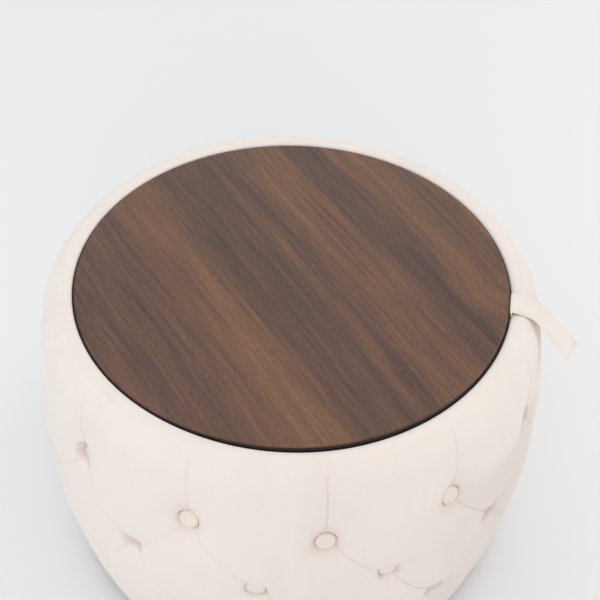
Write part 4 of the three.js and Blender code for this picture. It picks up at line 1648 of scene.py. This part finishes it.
@dataclass
class Studio:
    """A pale seamless floor, soft light and the camera."""

    floor_size: float = 30.0
    floor_colour: Colour = (0.845, 0.853, 0.868)
    background: Colour = (0.85, 0.855, 0.865)
    sky: float = 0.65
    sky_colour: Colour = (0.96, 0.985, 1.0)
    aim_height: float = 0.2
    lamps: tuple[Softbox, ...] = (
        Softbox("front_softbox", (0.0, -3.2, 2.0), 33.0, (1.0, 0.935, 0.87)),
        Softbox("left_softbox", (-3.2, 0.0, 1.6), 24.6, (0.93, 0.975, 1.0)),
        Softbox("right_softbox", (3.0, 1.1, 1.6), 29.6, (1.0, 0.962, 0.905)),
        Softbox("back_softbox", (0.0, 3.2, 1.8), 10.0, (1.0, 0.97, 0.95)),
        Softbox("top_softbox", (0.0, 0.0, 3.5), 15.0, (1.0, 0.92, 0.80)),
    )

    lens: float = 90.0
    sensor: float = 36.0
    elevation: float = 43.40
    distance: float = 1.8359
    roll: float = 1.21
    aim_left: float = 0.2941
    aim_up: float = 0.7525

    def build(self) -> None:
        """Sets up the floor, the world, the lamps, the camera and the view transform."""
        scene = bpy.context.scene
        scene.view_settings.view_transform = "Standard"
        self._floor()
        self._world()
        for lamp in self.lamps:
            self._lamp(lamp)
        scene.camera = self._camera()

    def _floor(self) -> None:
        """A wide plane that takes the object's shadow."""
        half = self.floor_size / 2
        corners = np.array([(-1, -1, 0), (1, -1, 0), (1, 1, 0), (-1, 1, 0)]) * half
        shader = Shader.named("studio_floor")
        grain = shader.noise(shader.place(), 3.0, 2.0)
        colour = shader.mix(grain * 0.1, self.floor_colour, self.background)
        finish = shader.finish(colour, 0.9, Specular_IOR_Level=0.0)
        piece("studio_floor", corners, np.array([[0, 1, 2, 3]]), finish)

    def _world(self) -> None:
        """An even sky: one strength for the light, and the background's own colour to the eye."""
        world = bpy.data.worlds.new("studio")
        bpy.context.scene.world = world
        shader = Shader(world)
        kind = "ShaderNodeBackground"
        light = shader.node(kind, {}, {"Color": self.sky_colour, "Strength": self.sky})
        seen = shader.node(kind, {}, {"Color": self.background})
        camera_ray = shader.node("ShaderNodeLightPath", {}, {}).outputs["Is Camera Ray"]
        mixed = shader.node(
            "ShaderNodeMixShader", {}, {0: camera_ray, 1: light.outputs[0], 2: seen.outputs[0]}
        )
        shader.node("ShaderNodeOutputWorld", {}, {"Surface": mixed.outputs[0]})

    def _lamp(self, softbox: Softbox) -> None:
        """Adds one lamp and turns it towards the middle of the barrel."""
        data = bpy.data.lights.new(softbox.name, "AREA")
        data.energy, data.size, data.color = softbox.power, softbox.size, softbox.colour
        lamp = bpy.data.objects.new(softbox.name, data)
        bpy.context.scene.collection.objects.link(lamp)
        lamp.location = softbox.place
        aim = Vector((0.0, 0.0, self.aim_height)) - lamp.location
        lamp.rotation_mode = "QUATERNION"
        lamp.rotation_quaternion = aim.to_track_quat("-Z", "Y")

    def _camera(self) -> Piece:
        """The camera, aimed from the front at the elevation angle.

        It looks at the middle of the lid's top, rolls about that line, and then turns so that the
        middle lies aim_left and aim_up degrees off the picture's centre.
        """
        rise = math.radians(self.elevation)
        forward = Vector((0.0, math.cos(rise), -math.sin(rise)))
        right = Vector((1.0, 0.0, 0.0))
        level = Matrix((right, forward.cross(right), forward))
        roll = Matrix.Rotation(math.radians(self.roll), 3, "Z")
        left, up = math.radians(self.aim_left), math.radians(self.aim_up)
        aside = Vector((-math.tan(left), -math.tan(up), 1.0)).normalized()
        turn = Vector((0.0, 0.0, 1.0)).rotation_difference(aside).to_matrix()
        axes = turn @ roll @ level
        data = bpy.data.cameras.new("camera")
        data.lens, data.sensor_width = self.lens, self.sensor
        camera = bpy.data.objects.new("camera", data)
        bpy.context.scene.collection.objects.link(camera)
        facing = Matrix((axes[0], -axes[1], -axes[2])).transposed().to_4x4()
        target = Vector((0.0, 0.0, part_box("lid_panel")[1].z))
        camera.matrix_world = Matrix.Translation(target - forward * self.distance) @ facing
        return camera


# ---------------------------------------------------------------------- the whole


def main() -> None:
    """Builds the studio and every sub-assembly in order, and reports each piece."""
    logging.basicConfig(level=logging.INFO, format="%(name)s: %(message)s")
    Studio().build()
    velvet, thread, foam = Velvet().material(), Thread().material(), FOAM.material()
    cover = TuftedCover()
    pieces = [cover.build(Velvet().material(paints_shade=True))]
    pieces += CoveredButtons().build(cover, BUTTON_VELVET.material(paints_shade=True))
    pieces.append(SeamStitches().build(cover, thread))
    pieces += LidCushion().build(velvet, foam)
    pieces += PullTab().build(velvet, HEM_THREAD.material())
    pieces += Inside().build(foam, LINING.material())
    pieces += Base().build(DUST_CLOTH.material(), Steel().material(), PLASTIC.material())
    pieces += Joinery().build()
    for made in pieces:
        log.info("%s: %d faces", made.name, len(made.data.polygons))


if __name__ == "__main__":
    main()
